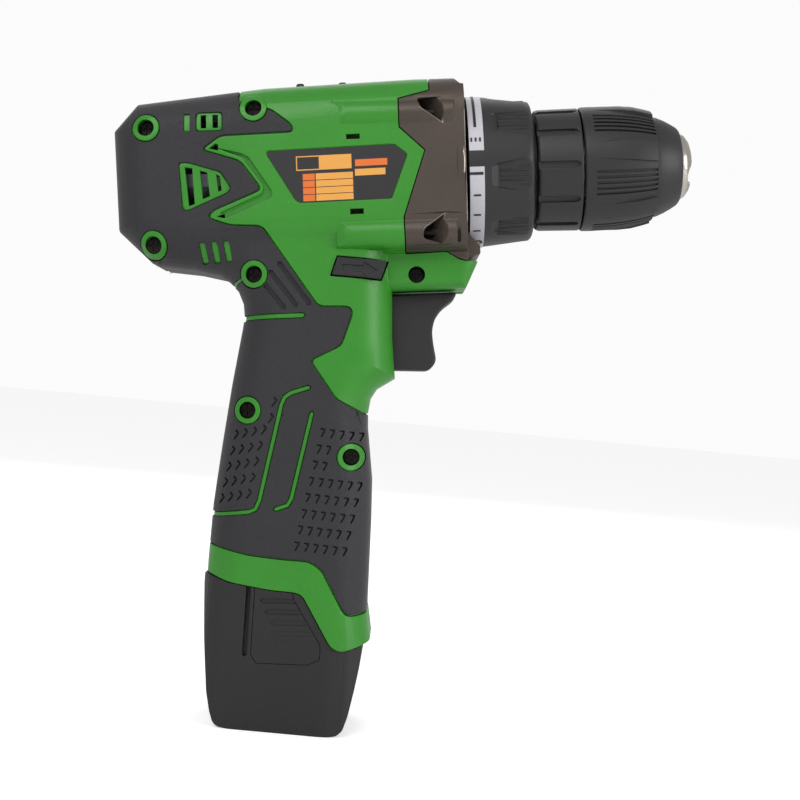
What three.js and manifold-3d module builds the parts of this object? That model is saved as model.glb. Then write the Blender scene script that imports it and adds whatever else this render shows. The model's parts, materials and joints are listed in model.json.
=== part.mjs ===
// Cordless drill driver with a slide-in battery pack, as an assembly of separate pieces, in millimetres.
// Tool axes: X forward along the chuck's axis, Y to the left, Z up; x = 0 is the gear case's front face.
// Stand axes: the same, turned so that the battery's flat base is level at z = 0.
import * as THREE from "three";
import { mergeVertices } from "three/addons/utils/BufferGeometryUtils.js";
import Module from "manifold-3d";

const wasm = await Module();
wasm.setup();

// Driving dimensions.
const TILT = 7; // degrees that the barrel points up when the drill stands on its battery
const AXIS_HEIGHT = 168.2; // from the base up to the chuck's axis at x = 0
const GAP = 0.3; // between pieces that touch
const BARREL_HALF = 24;
const BARREL_TOP = 24.4;
const BARREL_BOTTOM = -25.6;
const BARREL_REAR = -102;
const BARREL_ROUND = 12;
const HANDLE_HALF = 21;
const HANDLE_ROUND = 11;
const NECK_HALF = 15;
const NECK_ROUND = 3.5;
const SKIN = 1.1; // soft overmould
const WALL = 1.3; // hard shell under the overmould
const CASE_WALL = 2.4;
const RIB = 2;
const MOTOR_RADIUS = 13.8;
const MOTOR_REAR = -84;
const MOTOR_FRONT = -41.5;
const MAGNET_SPAN = [-74, -50];
const SHAFT_RADIUS = 1.6;
const CAN_WALL = 1.6;
const MAGNET_WALL = 3;
const FAN_ROOM = 1.2; // between the fan and the can
const ROTOR_RADIUS = MOTOR_RADIUS - CAN_WALL - MAGNET_WALL - 3 * GAP;
const FAN_RADIUS = MOTOR_RADIUS - CAN_WALL - FAN_ROOM;
const RING_RADIUS = 17.2;
const GEARBOX_REAR = -39;
const FIRST_RING_WALL = 1.36; // behind the first ring gear's teeth
const SECOND_RING_WALL = 1.92;
const FLANGE_ROOM = 4; // from a ring gear's outside in to the first carrier's flange
const PIN_RADIUS = 1.5;
const SPINDLE_RADIUS = 6;
const SPINDLE_PLAY = 0.7; // around the spindle in the gear case's nose
const BEARING_RADIUS = 10;
const THREAD_RADIUS = 4.8;
const COLLAR_RADIUS = 22.4;
const COLLAR_LENGTH = 19.2;
const CHUCK_START = 20.8;
const CHUCK_LENGTH = 46.4;
const CHUCK_RADIUS = 18.4;
const CHUCK_BORE = 5.3;
const JAW_RADIUS = 2.9;
const JAW_ANGLE = 15; // degrees between a jaw's slope and the chuck's axis
const TRIGGER_HALF = 7;
const TRIGGER_TRAVEL = 6;
const SELECTOR_LOW = -49.4; // the slider's rear end in low gear
const SELECTOR_HALF = 6.8;
const SELECTOR_LENGTH = 16;
const SELECTOR_TRAVEL = 4.5;
const CELL_RADIUS = 9.1;
const CELL_LENGTH = 65;
const CELL_FLOOR = 5.3;
const PACK_CENTRE = -41.6; // the cells' middle in stand X
const POST_WALL = 0.7;
const BATTERY_HALF = 21.5;
const SCREW_RADIUS = 1.4;
const SCREW_HEAD = 2.3;
const WELL_RADIUS = 2.6; // the hole in which a housing screw's head sits
const BOSS_RADIUS = 3.6;
const CASE_HEAD = 3;
const CASE_WELL = 3.4;
const CASE_BOSS = 4.6;
const POD_RADIUS = 4.2; // the housing's tubes that the case screws bite into
const SMALLEST_DETAIL = 0.02; // slivers that a cut leaves below this are merged away

const INNER = SKIN + GAP + WALL; // from the outer surface to the housing's cavity
const TUBE_IN = RING_RADIUS + GAP;
const TUBE_OUT = TUBE_IN + 2;
const COLLAR_START = 0.4;
const COLLAR_END = COLLAR_START + COLLAR_LENGTH;
const CHUCK_END = CHUCK_START + CHUCK_LENGTH;
const FAR = 200; // well outside the drill, for cutting prisms

const RAD = Math.PI / 180;

const FINISH = {
  green: { color: 0x3b9a2c, roughness: 0.5, metalness: 0 },
  rubber: { color: 0x35323a, roughness: 0.8, metalness: 0 },
  bronze: { color: 0x5b524c, roughness: 0.4, metalness: 0.8 },
  black: { color: 0x2a292b, roughness: 0.6, metalness: 0 },
  steel: { color: 0xb9bbbe, roughness: 0.3, metalness: 1 },
  darkSteel: { color: 0x3a3a3c, roughness: 0.4, metalness: 1 },
  copper: { color: 0xb06a3a, roughness: 0.4, metalness: 1 },
  magnet: { color: 0x55565a, roughness: 0.6, metalness: 0.4 },
  cell: { color: 0x3d7fb5, roughness: 0.4, metalness: 0 },
  nylon: { color: 0xe4e0d4, roughness: 0.6, metalness: 0 },
};

// ---------------------------------------------------------------- solids

/** A closed three.js geometry as a manifold solid, facing outwards. */
function solid(geometry) {
  const bare = geometry.clone();
  bare.deleteAttribute("normal");
  bare.deleteAttribute("uv");
  const merged = mergeVertices(bare, 1e-4);
  const make = (flip) => {
    const triVerts = [];
    for (let i = 0; i < merged.index.count; i += 3) {
      const [a, b, c] = [0, 1, 2].map((k) => merged.index.getX(i + k));
      if (a !== b && b !== c && a !== c) triVerts.push(a, ...(flip ? [c, b] : [b, c]));
    }
    const vertProperties = new Float32Array(merged.attributes.position.array);
    const mesh = new wasm.Mesh({ numProp: 3, vertProperties, triVerts: new Uint32Array(triVerts) });
    return new wasm.Manifold(mesh);
  };
  const made = make(false);
  return made.volume() < 0 ? make(true) : made;
}

/** Adds the solids together. */
function join(...parts) {
  return parts.reduce((whole, part) => whole.add(part));
}

/** The first solid with all the others taken out of it. */
function cut(body, ...tools) {
  return tools.reduce((left, tool) => left.subtract(tool), body);
}

/** A closed shape from a list of [across, up] points. */
function shapeOf(points) {
  return new THREE.Shape(points.map(([a, b]) => new THREE.Vector2(a, b)));
}

/** A prism of an [x, z] outline between two y values. */
function prismY(points, low = -FAR, high = FAR) {
  const geometry = new THREE.ExtrudeGeometry(shapeOf(points), { depth: high - low, bevelEnabled: false });
  return solid(geometry.rotateX(Math.PI / 2).translate(0, high, 0));
}

/** A prism of a [y, z] outline between two x values, with optional round holes [y, z, radius]. */
function prismX(points, low, high, holes = []) {
  const shape = shapeOf(points);
  for (const [y, z, radius] of holes) {
    shape.holes.push(new THREE.Path().absarc(y, z, radius, 0, 2 * Math.PI, true));
  }
  const settings = { depth: high - low, bevelEnabled: false, curveSegments: 8 };
  const geometry = new THREE.ExtrudeGeometry(shape, settings);
  const turn = new THREE.Matrix4().set(0, 0, 1, low, 1, 0, 0, 0, 0, 1, 0, 0, 0, 0, 0, 1);
  return solid(geometry.applyMatrix4(turn));
}

/** A shell body from an [x, z] outline: y = ±half, its long edges rounded, the whole surface moved in. */
function rounded(points, half, round, inset = 0) {
  const edge = round - inset;
  const geometry = new THREE.ExtrudeGeometry(shapeOf(points), {
    depth: 2 * (half - round),
    bevelThickness: edge,
    bevelSize: edge,
    bevelOffset: -round,
    bevelSegments: 2,
  });
  return solid(geometry.rotateX(Math.PI / 2).translate(0, half - round, 0));
}

/** A rounded rectangle in plan, centred on (x, 0), between two z values. */
function roundedPost(x, halfX, halfY, corner, low, high, bevel = 0) {
  const shape = new THREE.Shape();
  const [a, b] = [halfX - corner, halfY - corner];
  shape.absarc(x + a, b, corner, 0, Math.PI / 2);
  shape.absarc(x - a, b, corner, Math.PI / 2, Math.PI);
  shape.absarc(x - a, -b, corner, Math.PI, 1.5 * Math.PI);
  shape.absarc(x + a, -b, corner, 1.5 * Math.PI, 2 * Math.PI);
  const geometry = new THREE.ExtrudeGeometry(shape, {
    depth: high - low - 2 * bevel,
    bevelEnabled: bevel > 0,
    bevelThickness: bevel,
    bevelSize: bevel,
    bevelOffset: -bevel,
    bevelSegments: 2,
    curveSegments: 4,
  });
  return solid(geometry.translate(0, 0, low + bevel));
}

/** A box from its lowest to its highest corner. */
function block(low, high) {
  const size = high.map((value, i) => value - low[i]);
  const middle = high.map((value, i) => (value + low[i]) / 2);
  return solid(new THREE.BoxGeometry(...size).translate(...middle));
}

/** A round bar between two points. */
function rod(radius, from, to, sides = 12) {
  const [start, end] = [new THREE.Vector3(...from), new THREE.Vector3(...to)];
  const along = end.clone().sub(start);
  const geometry = new THREE.CylinderGeometry(radius, radius, along.length(), sides);
  const upright = new THREE.Vector3(0, 1, 0);
  geometry.applyQuaternion(new THREE.Quaternion().setFromUnitVectors(upright, along.normalize()));
  const middle = start.add(end).multiplyScalar(0.5);
  return solid(geometry.translate(middle.x, middle.y, middle.z));
}

/** A solid turned about the X axis from a closed profile of [x, radius] points. */
function turned(profile, sides = 24) {
  const points = [...profile, profile[0]].map(([x, radius]) => new THREE.Vector2(radius, x));
  return solid(new THREE.LatheGeometry(points, sides).rotateZ(-Math.PI / 2));
}

/** A ring about the X axis. */
function ring(inner, outer, low, high, sides = 20) {
  return turned([[low, inner], [high, inner], [high, outer], [low, outer]], sides);
}

/** A coil spring about a line parallel to X through (y, z). */
function coil(radius, wire, low, high, turns, [y, z] = [0, 0]) {
  class Helix extends THREE.Curve {
    getPoint(t) {
      const angle = 2 * Math.PI * turns * t;
      const x = low + wire + (high - low - 2 * wire) * t;
      return new THREE.Vector3(x, y + radius * Math.cos(angle), z + radius * Math.sin(angle));
    }
  }
  const section = new THREE.Shape().absarc(0, 0, wire, 0, 2 * Math.PI);
  const steps = Math.round(turns * 10);
  return solid(new THREE.ExtrudeGeometry(section, { steps, extrudePath: new Helix(), curveSegments: 2 }));
}

/** Moves a solid made in stand axes into tool axes. */
function fromStand(made) {
  return made.translate([0, 0, -AXIS_HEIGHT]).rotate([0, TILT, 0]);
}

const drill = new THREE.Group();
drill.rotation.y = -TILT * RAD;

/** Adds a solid in tool axes to the drill as a named mesh. */
function add(name, made, finish) {
  const { vertProperties, triVerts, numProp, numVert } = made.simplify(SMALLEST_DETAIL).getMesh();
  const position = new Float32Array(numVert * 3);
  for (let i = 0; i < numVert; i++) {
    position.set(vertProperties.subarray(i * numProp, i * numProp + 3), i * 3);
  }
  const geometry = new THREE.BufferGeometry();
  geometry.setAttribute("position", new THREE.BufferAttribute(position, 3));
  geometry.setIndex(new THREE.BufferAttribute(new Uint32Array(triVerts), 1));
  geometry.computeVertexNormals();
  const mesh = new THREE.Mesh(geometry, new THREE.MeshStandardMaterial({ ...finish, flatShading: true }));
  mesh.name = name;
  drill.add(mesh);
}

// ---------------------------------------------------------------- outlines, [x, z] in tool axes

const HANDLE_REAR = [
  [-90, 0], [-90.5, -26.3], [-80.1, -27.8], [-72.6, -29.7], [-69, -32.5], [-66.2, -38], [-66.4, -44],
  [-70.3, -61.5], [-73.5, -77.9],
  [-76.8, -95.8], [-78.8, -112.2], [-79.6, -121], [-79.8, -152],
];
const HANDLE_FRONT = [
  [-31, -152], [-33, -128], [-31.1, -103.2], [-30.5, -91.2], [-30.8, -74], [-28.9, -65.4],
  [-22.6, -61.2], [-23, -49.4], [-22.6, -36], [-22.6, 0],
];
const BARREL = [
  [BARREL_REAR, 13], [-94.8, 20.8], [-58, BARREL_TOP], [-15, BARREL_TOP + 1.5], [20, BARREL_TOP + 1.5],
  [20, BARREL_BOTTOM], [-92, BARREL_BOTTOM], [BARREL_REAR + 0.5, -16],
];
const NECK = [
  [-45, -8], [-45, -35.7], [-1, -35.4], [3.7, -25.6], [3.7, -8],
];
// The wavy edge of the gear case, seen from the side; metal lies in front of it.
const CASE_EDGE = [
  [-10.3, 40], [-10.3, 21], [-19.2, 18.7], [-19.2, 10.4], [-12, 3.6], [-18.5, -15.3], [-18.3, -25],
  [-6.3, -24.8], [-2.9, -26.9],
];
// The lower edge of the handle, where the battery's shoulder meets it.
const JOINT_LINE = [
  [-76.9, -116.2], [-71.8, -118.1], [-60.4, -120.7], [-52.9, -121.7], [-50.9, -122.7], [-43.6, -137.4],
  [-41.6, -138.9], [-39.3, -139.2], [-34.1, -137.9],
];
// The soft overmould's front edge, from the barrel's top to the band over the battery.
const OVERMOULD = [
  [-64.9, 40], [-64.9, 18.9], [-55.8, 16.7], [-49.7, 11.9], [-49.5, 9.9], [-70.3, 9.4], [-75.6, 5.6],
  [-64.8, 2.1], [-59.3, -5.5], [-59.7, -6.6], [-73, -11.9], [-74.4, -13.9], [-68.2, -16.1],
  [-59.1, -16.6], [-43.8, -39.9], [-35, -40.2], [-34, -42], [-37.6, -51.3], [-46.6, -55.3],
  [-39.5, -66.6], [-20, -78], [-20, -128.2], [-37.6, -129.2], [-39.3, -128.3], [-45.2, -115.4],
  [-48.6, -112.9], [-57.2, -111.9], [-65.8, -110.5], [-76.1, -107.6], [-110, -98], [-130, 40],
];
const TRIGGER = [
  [-27, -36.4], [-3.4, -36], [-4.4, -38.2], [-8.2, -40.8], [-10.3, -43.8], [-11.2, -47.4],
  [-10.9, -51.3], [-10.1, -56.4], [-12.4, -59.1], [-27, -58.4],
];
const DIRECTION = [[-37.8, -25.9], [-23.8, -27.5], [-25.7, -32.6], [-39.7, -31]];
const HOUSING_SCREWS = [
  [-91.4, 12.4], [-90.5, -20.9], [-60.6, 17.2], [-62, -30.1], [-15.3, -31.2], [-65.1, -69], [-35.8, -83.4],
];
// The motor's vents on each side: [rear edge, lowest z, highest z].
const VENTS = [
  [-82, -5.8, -0.6], [-78.2, -6.5, -0.7], [-74.4, -6.8, -1],
  [-81, 10.3, 16.7], [-75.6, 10.3, 16.7], [-72.2, 10.3, 16.7],
];
const VENT_WIDTH = 1.6;
const CASE_SCREWS = [[19.3, 14.5], [19.3, -19.5], [-19.3, 14.5], [-19.3, -19.5]]; // [y, z]

/** An outline moved by a distance: outwards where positive, for a list that runs clockwise. */
function offset(points, distance) {
  return points.map(([x, z], i) => {
    const [px, pz] = points[(i + points.length - 1) % points.length];
    const [nx, nz] = points[(i + 1) % points.length];
    const before = new THREE.Vector2(pz - z, x - px).normalize();
    const after = new THREE.Vector2(z - nz, nx - x).normalize();
    const middle = before.add(after).normalize();
    const reach = distance / Math.max(0.5, middle.dot(after));
    return [x + middle.x * reach, z + middle.y * reach];
  });
}

// ---------------------------------------------------------------- housing

const handle = [...HANDLE_REAR, ...HANDLE_FRONT];

/** The drill's whole outer body, with its surface moved in by an inset. */
function body(inset) {
  const collarRoom = rod(COLLAR_RADIUS + 2 * GAP, [0, 0, 0], [20, 0, 0], 28);
  const neck = cut(rounded(NECK, NECK_HALF, NECK_ROUND, inset), collarRoom);
  const ahead = block([0, -FAR, -FAR], [FAR, FAR, FAR]);
  const barrel = cut(rounded(BARREL, BARREL_HALF, BARREL_ROUND, inset), ahead);
  return join(barrel, rounded(handle, HANDLE_HALF, HANDLE_ROUND, inset), neck);
}

const belowJoint = (gap) => prismY([...JOINT_LINE.map(([x, z]) => [x, z + gap]), [-20, -134 + gap],
  [-20, -FAR], [-100, -FAR], [-100, -111 + gap]]);
const caseOutline = [...CASE_EDGE, [-1.2, -27.5], [40, -27.5], [40, 40]].reverse();
const aheadOfCase = (grown) => prismY(offset(caseOutline, grown));

/** The tube through which one housing screw goes, wide outside and narrow in the middle. */
function boss([x, z], side) {
  return join(
    rod(BOSS_RADIUS, [x, side * 7, z], [x, side * 19, z], 10),
    rod(BOSS_RADIUS - 0.8, [x, 0, z], [x, side * 8, z], 8),
  );
}

/** The hole of one housing screw: a well for the head, and the thread's bore. */
function screwHole([x, z]) {
  const bore = SCREW_RADIUS + GAP;
  return join(rod(WELL_RADIUS, [x, -FAR, z], [x, -7, z], 10), rod(bore, [x, -8, z], [x, 10, z], 8));
}

const outer = body(0);
const cavity = body(INNER);
const softZone = prismY(OVERMOULD);
const softZoneIn = prismY(offset(OVERMOULD, -GAP));
const gearTube = rod(TUBE_OUT + GAP, [GEARBOX_REAR - GAP, 0, 0], [30, 0, 0], 28);

/** A cradle rib across the barrel with a round opening. */
function cradle(x, radius) {
  const plate = block([x, -FAR, -26], [x + RIB, FAR, 40]).intersect(body(INNER - 0.2));
  return cut(plate, rod(radius, [x - 5, 0, 0], [x + 5, 0, 0], 24));
}

const triggerSlot = block([-32, -TRIGGER_HALF - 0.4, -59.6], [-15, TRIGGER_HALF + 0.4, -35.6]);
const directionHole = prismY(offset(DIRECTION, 0.35));
const selectorWindow = block(
  [SELECTOR_LOW - 0.4, -SELECTOR_HALF - 0.6, 15],
  [SELECTOR_LOW + SELECTOR_LENGTH + SELECTOR_TRAVEL + GAP, SELECTOR_HALF + 0.6, 40],
);
const pods = CASE_SCREWS.map(([y, z]) => rod(POD_RADIUS, [-33, y, z], [-19.5, y, z], 10));
const podHoles = CASE_SCREWS.map(([y, z]) => rod(SCREW_RADIUS + 0.5, [-31, y, z], [0, y, z], 8));
const ribs = [[-80, MOTOR_RADIUS], [-46, MOTOR_RADIUS], [-36, TUBE_OUT]]
  .map(([x, radius]) => cradle(x, radius + GAP));
const bosses = HOUSING_SCREWS.flatMap((place) => [boss(place, -1), boss(place, 1)]);
const ventSlots = VENTS.map(([x, low, high]) => block([x, -FAR, low], [x + VENT_WIDTH, FAR, high]));

const shell = cut(
  join(cut(outer, cavity), ...ribs, ...bosses.map((made) => made.intersect(body(SKIN + GAP))), ...pods),
  cut(outer, body(SKIN + GAP)).intersect(softZone),
  belowJoint(GAP), aheadOfCase(GAP), triggerSlot, directionHole, selectorWindow,
  gearTube, rod(MOTOR_RADIUS + GAP, [-88, 0, 0], [-38, 0, 0], 24), ...podHoles,
  ...HOUSING_SCREWS.map(screwHole), ...ventSlots,
);
const overmould = cut(
  outer.intersect(softZoneIn), body(SKIN), belowJoint(GAP), ...ventSlots,
  ...HOUSING_SCREWS.map(([x, z]) => rod(4, [x, -FAR, z], [x, FAR, z], 16)),
);
const rightSide = block([-FAR, -FAR, -FAR], [FAR, -GAP / 2, FAR]);
const leftSide = block([-FAR, GAP / 2, -FAR], [FAR, FAR, FAR]);
/** The largest closed body of a solid, without crumbs that a cut leaves. */
function largest(made) {
  return made.decompose().sort((a, b) => b.volume() - a.volume())[0];
}
add("housing_right", largest(shell.intersect(rightSide)), FINISH.green);
add("housing_left", largest(shell.intersect(leftSide)), FINISH.green);
add("overmould_right", largest(overmould.intersect(rightSide)), FINISH.rubber);
add("overmould_left", largest(overmould.intersect(leftSide)), FINISH.rubber);

HOUSING_SCREWS.forEach(([x, z], i) => {
  const head = rod(SCREW_HEAD, [x, -9.2, z], [x, -7.3, z], 12);
  const thread = rod(SCREW_RADIUS, [x, -8, z], [x, 9, z], 8);
  add(`housing_screw_${i + 1}`, join(head, thread), FINISH.darkSteel);
});

// ---------------------------------------------------------------- gear case

const BEARING_SEAT = [-11, -4];
const NOSE_END = 15;
const NOSE_RADIUS = 11.3;
const caseCore = turned([
  [GEARBOX_REAR, TUBE_IN], [BEARING_SEAT[0], TUBE_IN], [BEARING_SEAT[0], BEARING_RADIUS + GAP],
  [BEARING_SEAT[1], BEARING_RADIUS + GAP], [BEARING_SEAT[1], SPINDLE_RADIUS + SPINDLE_PLAY],
  [NOSE_END, SPINDLE_RADIUS + SPINDLE_PLAY], [NOSE_END, NOSE_RADIUS], [0, NOSE_RADIUS],
  [0, TUBE_OUT], [GEARBOX_REAR, TUBE_OUT],
], 28);
const caseShell = cut(outer, body(CASE_WALL)).intersect(aheadOfCase(0));
const caseFlange = block([-4, -FAR, BARREL_BOTTOM - 10], [0, FAR, 40])
  .intersect(outer).intersect(aheadOfCase(0));
const caseBosses = CASE_SCREWS.map(([y, z]) => rod(CASE_BOSS, [-12, y, z], [-0.5, y, z], 10));
const gearCase = cut(
  join(caseShell, caseFlange, ...caseBosses, caseCore),
  ...CASE_SCREWS.map(([y, z]) => rod(SCREW_RADIUS + 0.5, [-40, y, z], [-4, y, z], 10)),
  ...CASE_SCREWS.map(([y, z]) => rod(CASE_WELL, [-5.3, y, z], [10, y, z], 12)),
  rod(TUBE_IN, [GEARBOX_REAR - 1, 0, 0], [BEARING_SEAT[0], 0, 0], 28),
  rod(SPINDLE_RADIUS + SPINDLE_PLAY, [-12, 0, 0], [NOSE_END + 1, 0, 0], 20),
  selectorWindow,
);
add("gear_case", largest(gearCase), FINISH.bronze);
CASE_SCREWS.forEach(([y, z], i) => {
  const head = rod(CASE_HEAD, [-5, y, z], [-2.4, y, z], 12);
  add(`case_screw_${i + 1}`, join(head, rod(SCREW_RADIUS, [-30, y, z], [-4, y, z], 8)), FINISH.steel);
});

// ---------------------------------------------------------------- motor

add("motor_can", turned([
  [MOTOR_REAR, MOTOR_RADIUS - CAN_WALL], [MOTOR_FRONT - 1.5, MOTOR_RADIUS - CAN_WALL],
  [MOTOR_FRONT - 1.5, 2.6],
  [MOTOR_FRONT, 2.6], [MOTOR_FRONT, MOTOR_RADIUS], [MOTOR_REAR, MOTOR_RADIUS],
]), FINISH.steel);
add("motor_end_bell", join(
  ring(SHAFT_RADIUS + GAP, MOTOR_RADIUS - 0.3, MOTOR_REAR - 3.4, MOTOR_REAR - GAP),
  block([MOTOR_REAR - 6.5, -11, -3], [MOTOR_REAR - 3, -9.8, 3]),
  block([MOTOR_REAR - 6.5, 9.8, -3], [MOTOR_REAR - 3, 11, 3]),
), FINISH.nylon);

/** One curved magnet; side is 1 for the upper and -1 for the lower. */
function magnet(side) {
  const shape = new THREE.Shape();
  const [inner, outside, sweep] = [ROTOR_RADIUS + 2 * GAP, MOTOR_RADIUS - CAN_WALL - GAP, 60 * RAD];
  const middle = (side * Math.PI) / 2;
  shape.absarc(0, 0, outside, middle - sweep, middle + sweep, false);
  shape.absarc(0, 0, inner, middle + sweep, middle - sweep, true);
  return prismX(shape.getPoints(5).map(({ x, y }) => [x, y]).slice(0, -1), ...MAGNET_SPAN);
}
add("magnet_upper", magnet(1), FINISH.magnet);
add("magnet_lower", magnet(-1), FINISH.magnet);

const SHAFT_END = -31;
const poleSlots = [0, 1, 2, 3, 4].map((i) => {
  const angle = (i * 2 * Math.PI) / 5;
  const reach = ROTOR_RADIUS + GAP;
  const [y, z] = [reach * Math.cos(angle), reach * Math.sin(angle)];
  return rod(1.3, [-80, y, z], [-45, y, z], 6);
});
add("armature", join(
  rod(SHAFT_RADIUS, [MOTOR_REAR - 5, 0, 0], [SHAFT_END, 0, 0]),
  cut(rod(ROTOR_RADIUS, [MAGNET_SPAN[0], 0, 0], [MAGNET_SPAN[1], 0, 0], 30), ...poleSlots),
  rod(ROTOR_RADIUS - 1.9, [MAGNET_SPAN[0] - 3, 0, 0], [MAGNET_SPAN[1] + 1, 0, 0], 16),
), FINISH.copper);
add("commutator", ring(SHAFT_RADIUS + GAP, 4.2, -83, -78, 20), FINISH.copper);
for (const [name, side] of [["brush_right", -1], ["brush_left", 1]]) {
  const [near, far] = [side * 4.6, side * 9].sort((a, b) => a - b);
  add(name, block([-82.2, near, -1.6], [-79, far, 1.6]), FINISH.magnet);
}
const fanBlades = Array.from({ length: 7 }, (_, i) =>
  block([-47.5, 2.6, -0.5], [-44.2, FAN_RADIUS, 0.5]).rotate([(i * 360) / 7, 0, 0]));
add("motor_fan", cut(
  join(
    rod(FAN_RADIUS, [-48.2, 0, 0], [-47.2, 0, 0], 24),
    rod(3.6, [-48.2, 0, 0], [-44.2, 0, 0]),
    ...fanBlades,
  ),
  rod(SHAFT_RADIUS + GAP, [-60, 0, 0], [-40, 0, 0]),
), FINISH.nylon);

// ---------------------------------------------------------------- planetary gearbox

const BACKLASH = 0.28;
const ROOT_DEPTH = 1.1; // of a tooth, in modules
/** Points of a toothed outline; an internal ring's teeth point inwards. */
function teethOutline(teeth, size, internal, phase = 0) {
  const pitch = (teeth * size) / 2;
  const way = internal ? -1 : 1;
  const [tip, root] = [pitch + way * 0.78 * size, pitch - way * ROOT_DEPTH * size];
  const thickness = (Math.PI * size) / 2 - BACKLASH;
  const half = (radius) => (thickness / 2 - way * (radius - pitch) * Math.tan(20 * RAD)) / radius;
  return Array.from({ length: teeth }, (_, i) => {
    const middle = phase + (i * 2 * Math.PI) / teeth;
    const at = (radius, angle) => [radius * Math.cos(angle), radius * Math.sin(angle)];
    return [at(root, middle - half(root)), at(tip, middle - half(tip)),
      at(tip, middle + half(tip)), at(root, middle + half(root))];
  }).flat();
}

/** The phase that makes a planet at an angle mesh with its sun and its ring. */
const planetPhase = (angle, sun, planet) => angle + Math.PI + (sun * angle - Math.PI) / planet;

/** The tooth size that leaves a wall behind a ring gear's teeth. */
const moduleFor = (teeth, wall) => (RING_RADIUS - wall) / (teeth / 2 + ROOT_DEPTH);
const FIRST_MODULE = moduleFor(33, FIRST_RING_WALL);
const SECOND_MODULE = moduleFor(36, SECOND_RING_WALL);
const FIRST = { sun: 9, planet: 12, ring: 33, size: FIRST_MODULE, low: -36.6, high: -30.5 };
const SECOND = { sun: 12, planet: 12, ring: 36, size: SECOND_MODULE, low: -27.1, high: -20.9 };
const arm = ({ sun, planet, size }) => ((sun + planet) * size) / 2;
const planetAngles = [90, 210, 330].map((degrees) => degrees * RAD);

/** The three pins of a carrier. */
function pins(stage, low, high) {
  return planetAngles.map((angle) => {
    const [y, z] = [arm(stage) * Math.cos(angle), arm(stage) * Math.sin(angle)];
    return rod(PIN_RADIUS, [low, y, z], [high, y, z], 10);
  });
}

/** Adds the three planets of a stage. */
function addPlanets(name, stage) {
  planetAngles.forEach((angle, i) => {
    const phase = planetPhase(angle, stage.sun, stage.planet);
    const outline = teethOutline(stage.planet, stage.size, false, phase);
    const made = prismX(outline, stage.low, stage.high, [[0, 0, PIN_RADIUS + GAP]]);
    const place = [0, arm(stage) * Math.cos(angle), arm(stage) * Math.sin(angle)];
    add(`${name}_${i + 1}`, made.translate(place), FINISH.steel);
  });
}

/** A ring gear about the X axis, turned so that the planets mesh with it. */
function ringGear(stage, low, high) {
  const phase = ((stage.sun + stage.ring) * planetAngles[0] + stage.planet * Math.PI) / stage.ring;
  const teeth = prismX(teethOutline(stage.ring, stage.size, true, phase), low - 1, high + 1);
  return cut(rod(RING_RADIUS, [low, 0, 0], [high, 0, 0], 36), teeth);
}

const sunTeeth = (stage, low, high) => prismX(teethOutline(stage.sun, stage.size, false), low, high);
const shaftHole = rod(SHAFT_RADIUS + GAP, [-50, 0, 0], [0, 0, 0]);
add("motor_pinion", cut(sunTeeth(FIRST, -38.4, FIRST.high), shaftHole), FINISH.steel);
add("first_ring_gear", ringGear(FIRST, -37.4, -28.8), FINISH.darkSteel);
addPlanets("first_planet", FIRST);
add("first_carrier", join(
  rod(RING_RADIUS - FLANGE_ROOM, [-30, 0, 0], [-27.6, 0, 0], 28), ...pins(FIRST, FIRST.low, -29),
  sunTeeth(SECOND, -28, SECOND.high),
), FINISH.steel);
addPlanets("second_planet", SECOND);

const SPINDLE_END = CHUCK_START + 15.7;
add("spindle", cut(join(
  rod(RING_RADIUS - FLANGE_ROOM - 0.4, [-20.4, 0, 0], [-17.8, 0, 0], 28), ...pins(SECOND, SECOND.low, -19),
  rod(SPINDLE_RADIUS, [-18, 0, 0], [NOSE_END + 2, 0, 0], 20),
  rod(THREAD_RADIUS, [NOSE_END, 0, 0], [SPINDLE_END, 0, 0], 20),
), rod(2.7, [SPINDLE_END - 11, 0, 0], [60, 0, 0])), FINISH.steel);
add("spindle_bearing", ring(
  SPINDLE_RADIUS + GAP, BEARING_RADIUS, BEARING_SEAT[0] + GAP, BEARING_SEAT[1] - GAP, 24,
), FINISH.steel);

// ---------------------------------------------------------------- speed selector

const SELECTOR_HIGH = SELECTOR_LOW + SELECTOR_LENGTH;
add("second_ring_gear", ringGear(SECOND, -27.9, -18.3), FINISH.darkSteel);
add("speed_selector", join(
  block([SELECTOR_LOW, -SELECTOR_HALF, 22], [SELECTOR_HIGH, SELECTOR_HALF, 24]),
  block([SELECTOR_LOW + 1, -6, 23], [SELECTOR_LOW + 3, 6, 26.2]),
  block([SELECTOR_HIGH - 2.5, -6, 23], [SELECTOR_HIGH - 0.5, 6, 26.2]),
), FINISH.black);

// ---------------------------------------------------------------- clutch and torque collar

add("clutch_spring", coil(13.6, 1.1, 0.9, 14.6, 3.5), FINISH.steel);
add("torque_collar", turned([
  [COLLAR_START, 16], [16.4, 16], [16.4, 8], [COLLAR_END - 2, 8], [COLLAR_END - 2, 14], [COLLAR_END, 15],
  [COLLAR_END, 19.6], [COLLAR_END - 1.4, 20.9], [COLLAR_END - 4, 21.2], [5, COLLAR_RADIUS - 0.3],
  [COLLAR_START, COLLAR_RADIUS],
], 28), FINISH.black);

// ---------------------------------------------------------------- keyless chuck

const SLOPE = Math.tan(JAW_ANGLE * RAD);
const JAW_NOSE_RADIUS = 5.4; // how far a jaw's axis is from the chuck's at its nose
const jawRadiusAt = (x) => JAW_NOSE_RADIUS + (CHUCK_END - x) * SLOPE;
const jawAngles = [90, 210, 330];

/** A bar along one jaw's sloping axis, in the plane y = 0 above the chuck's axis. */
function slopingRod(radius, low, high, sides) {
  return rod(radius, [low, 0, jawRadiusAt(low)], [high, 0, jawRadiusAt(high)], sides);
}

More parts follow.
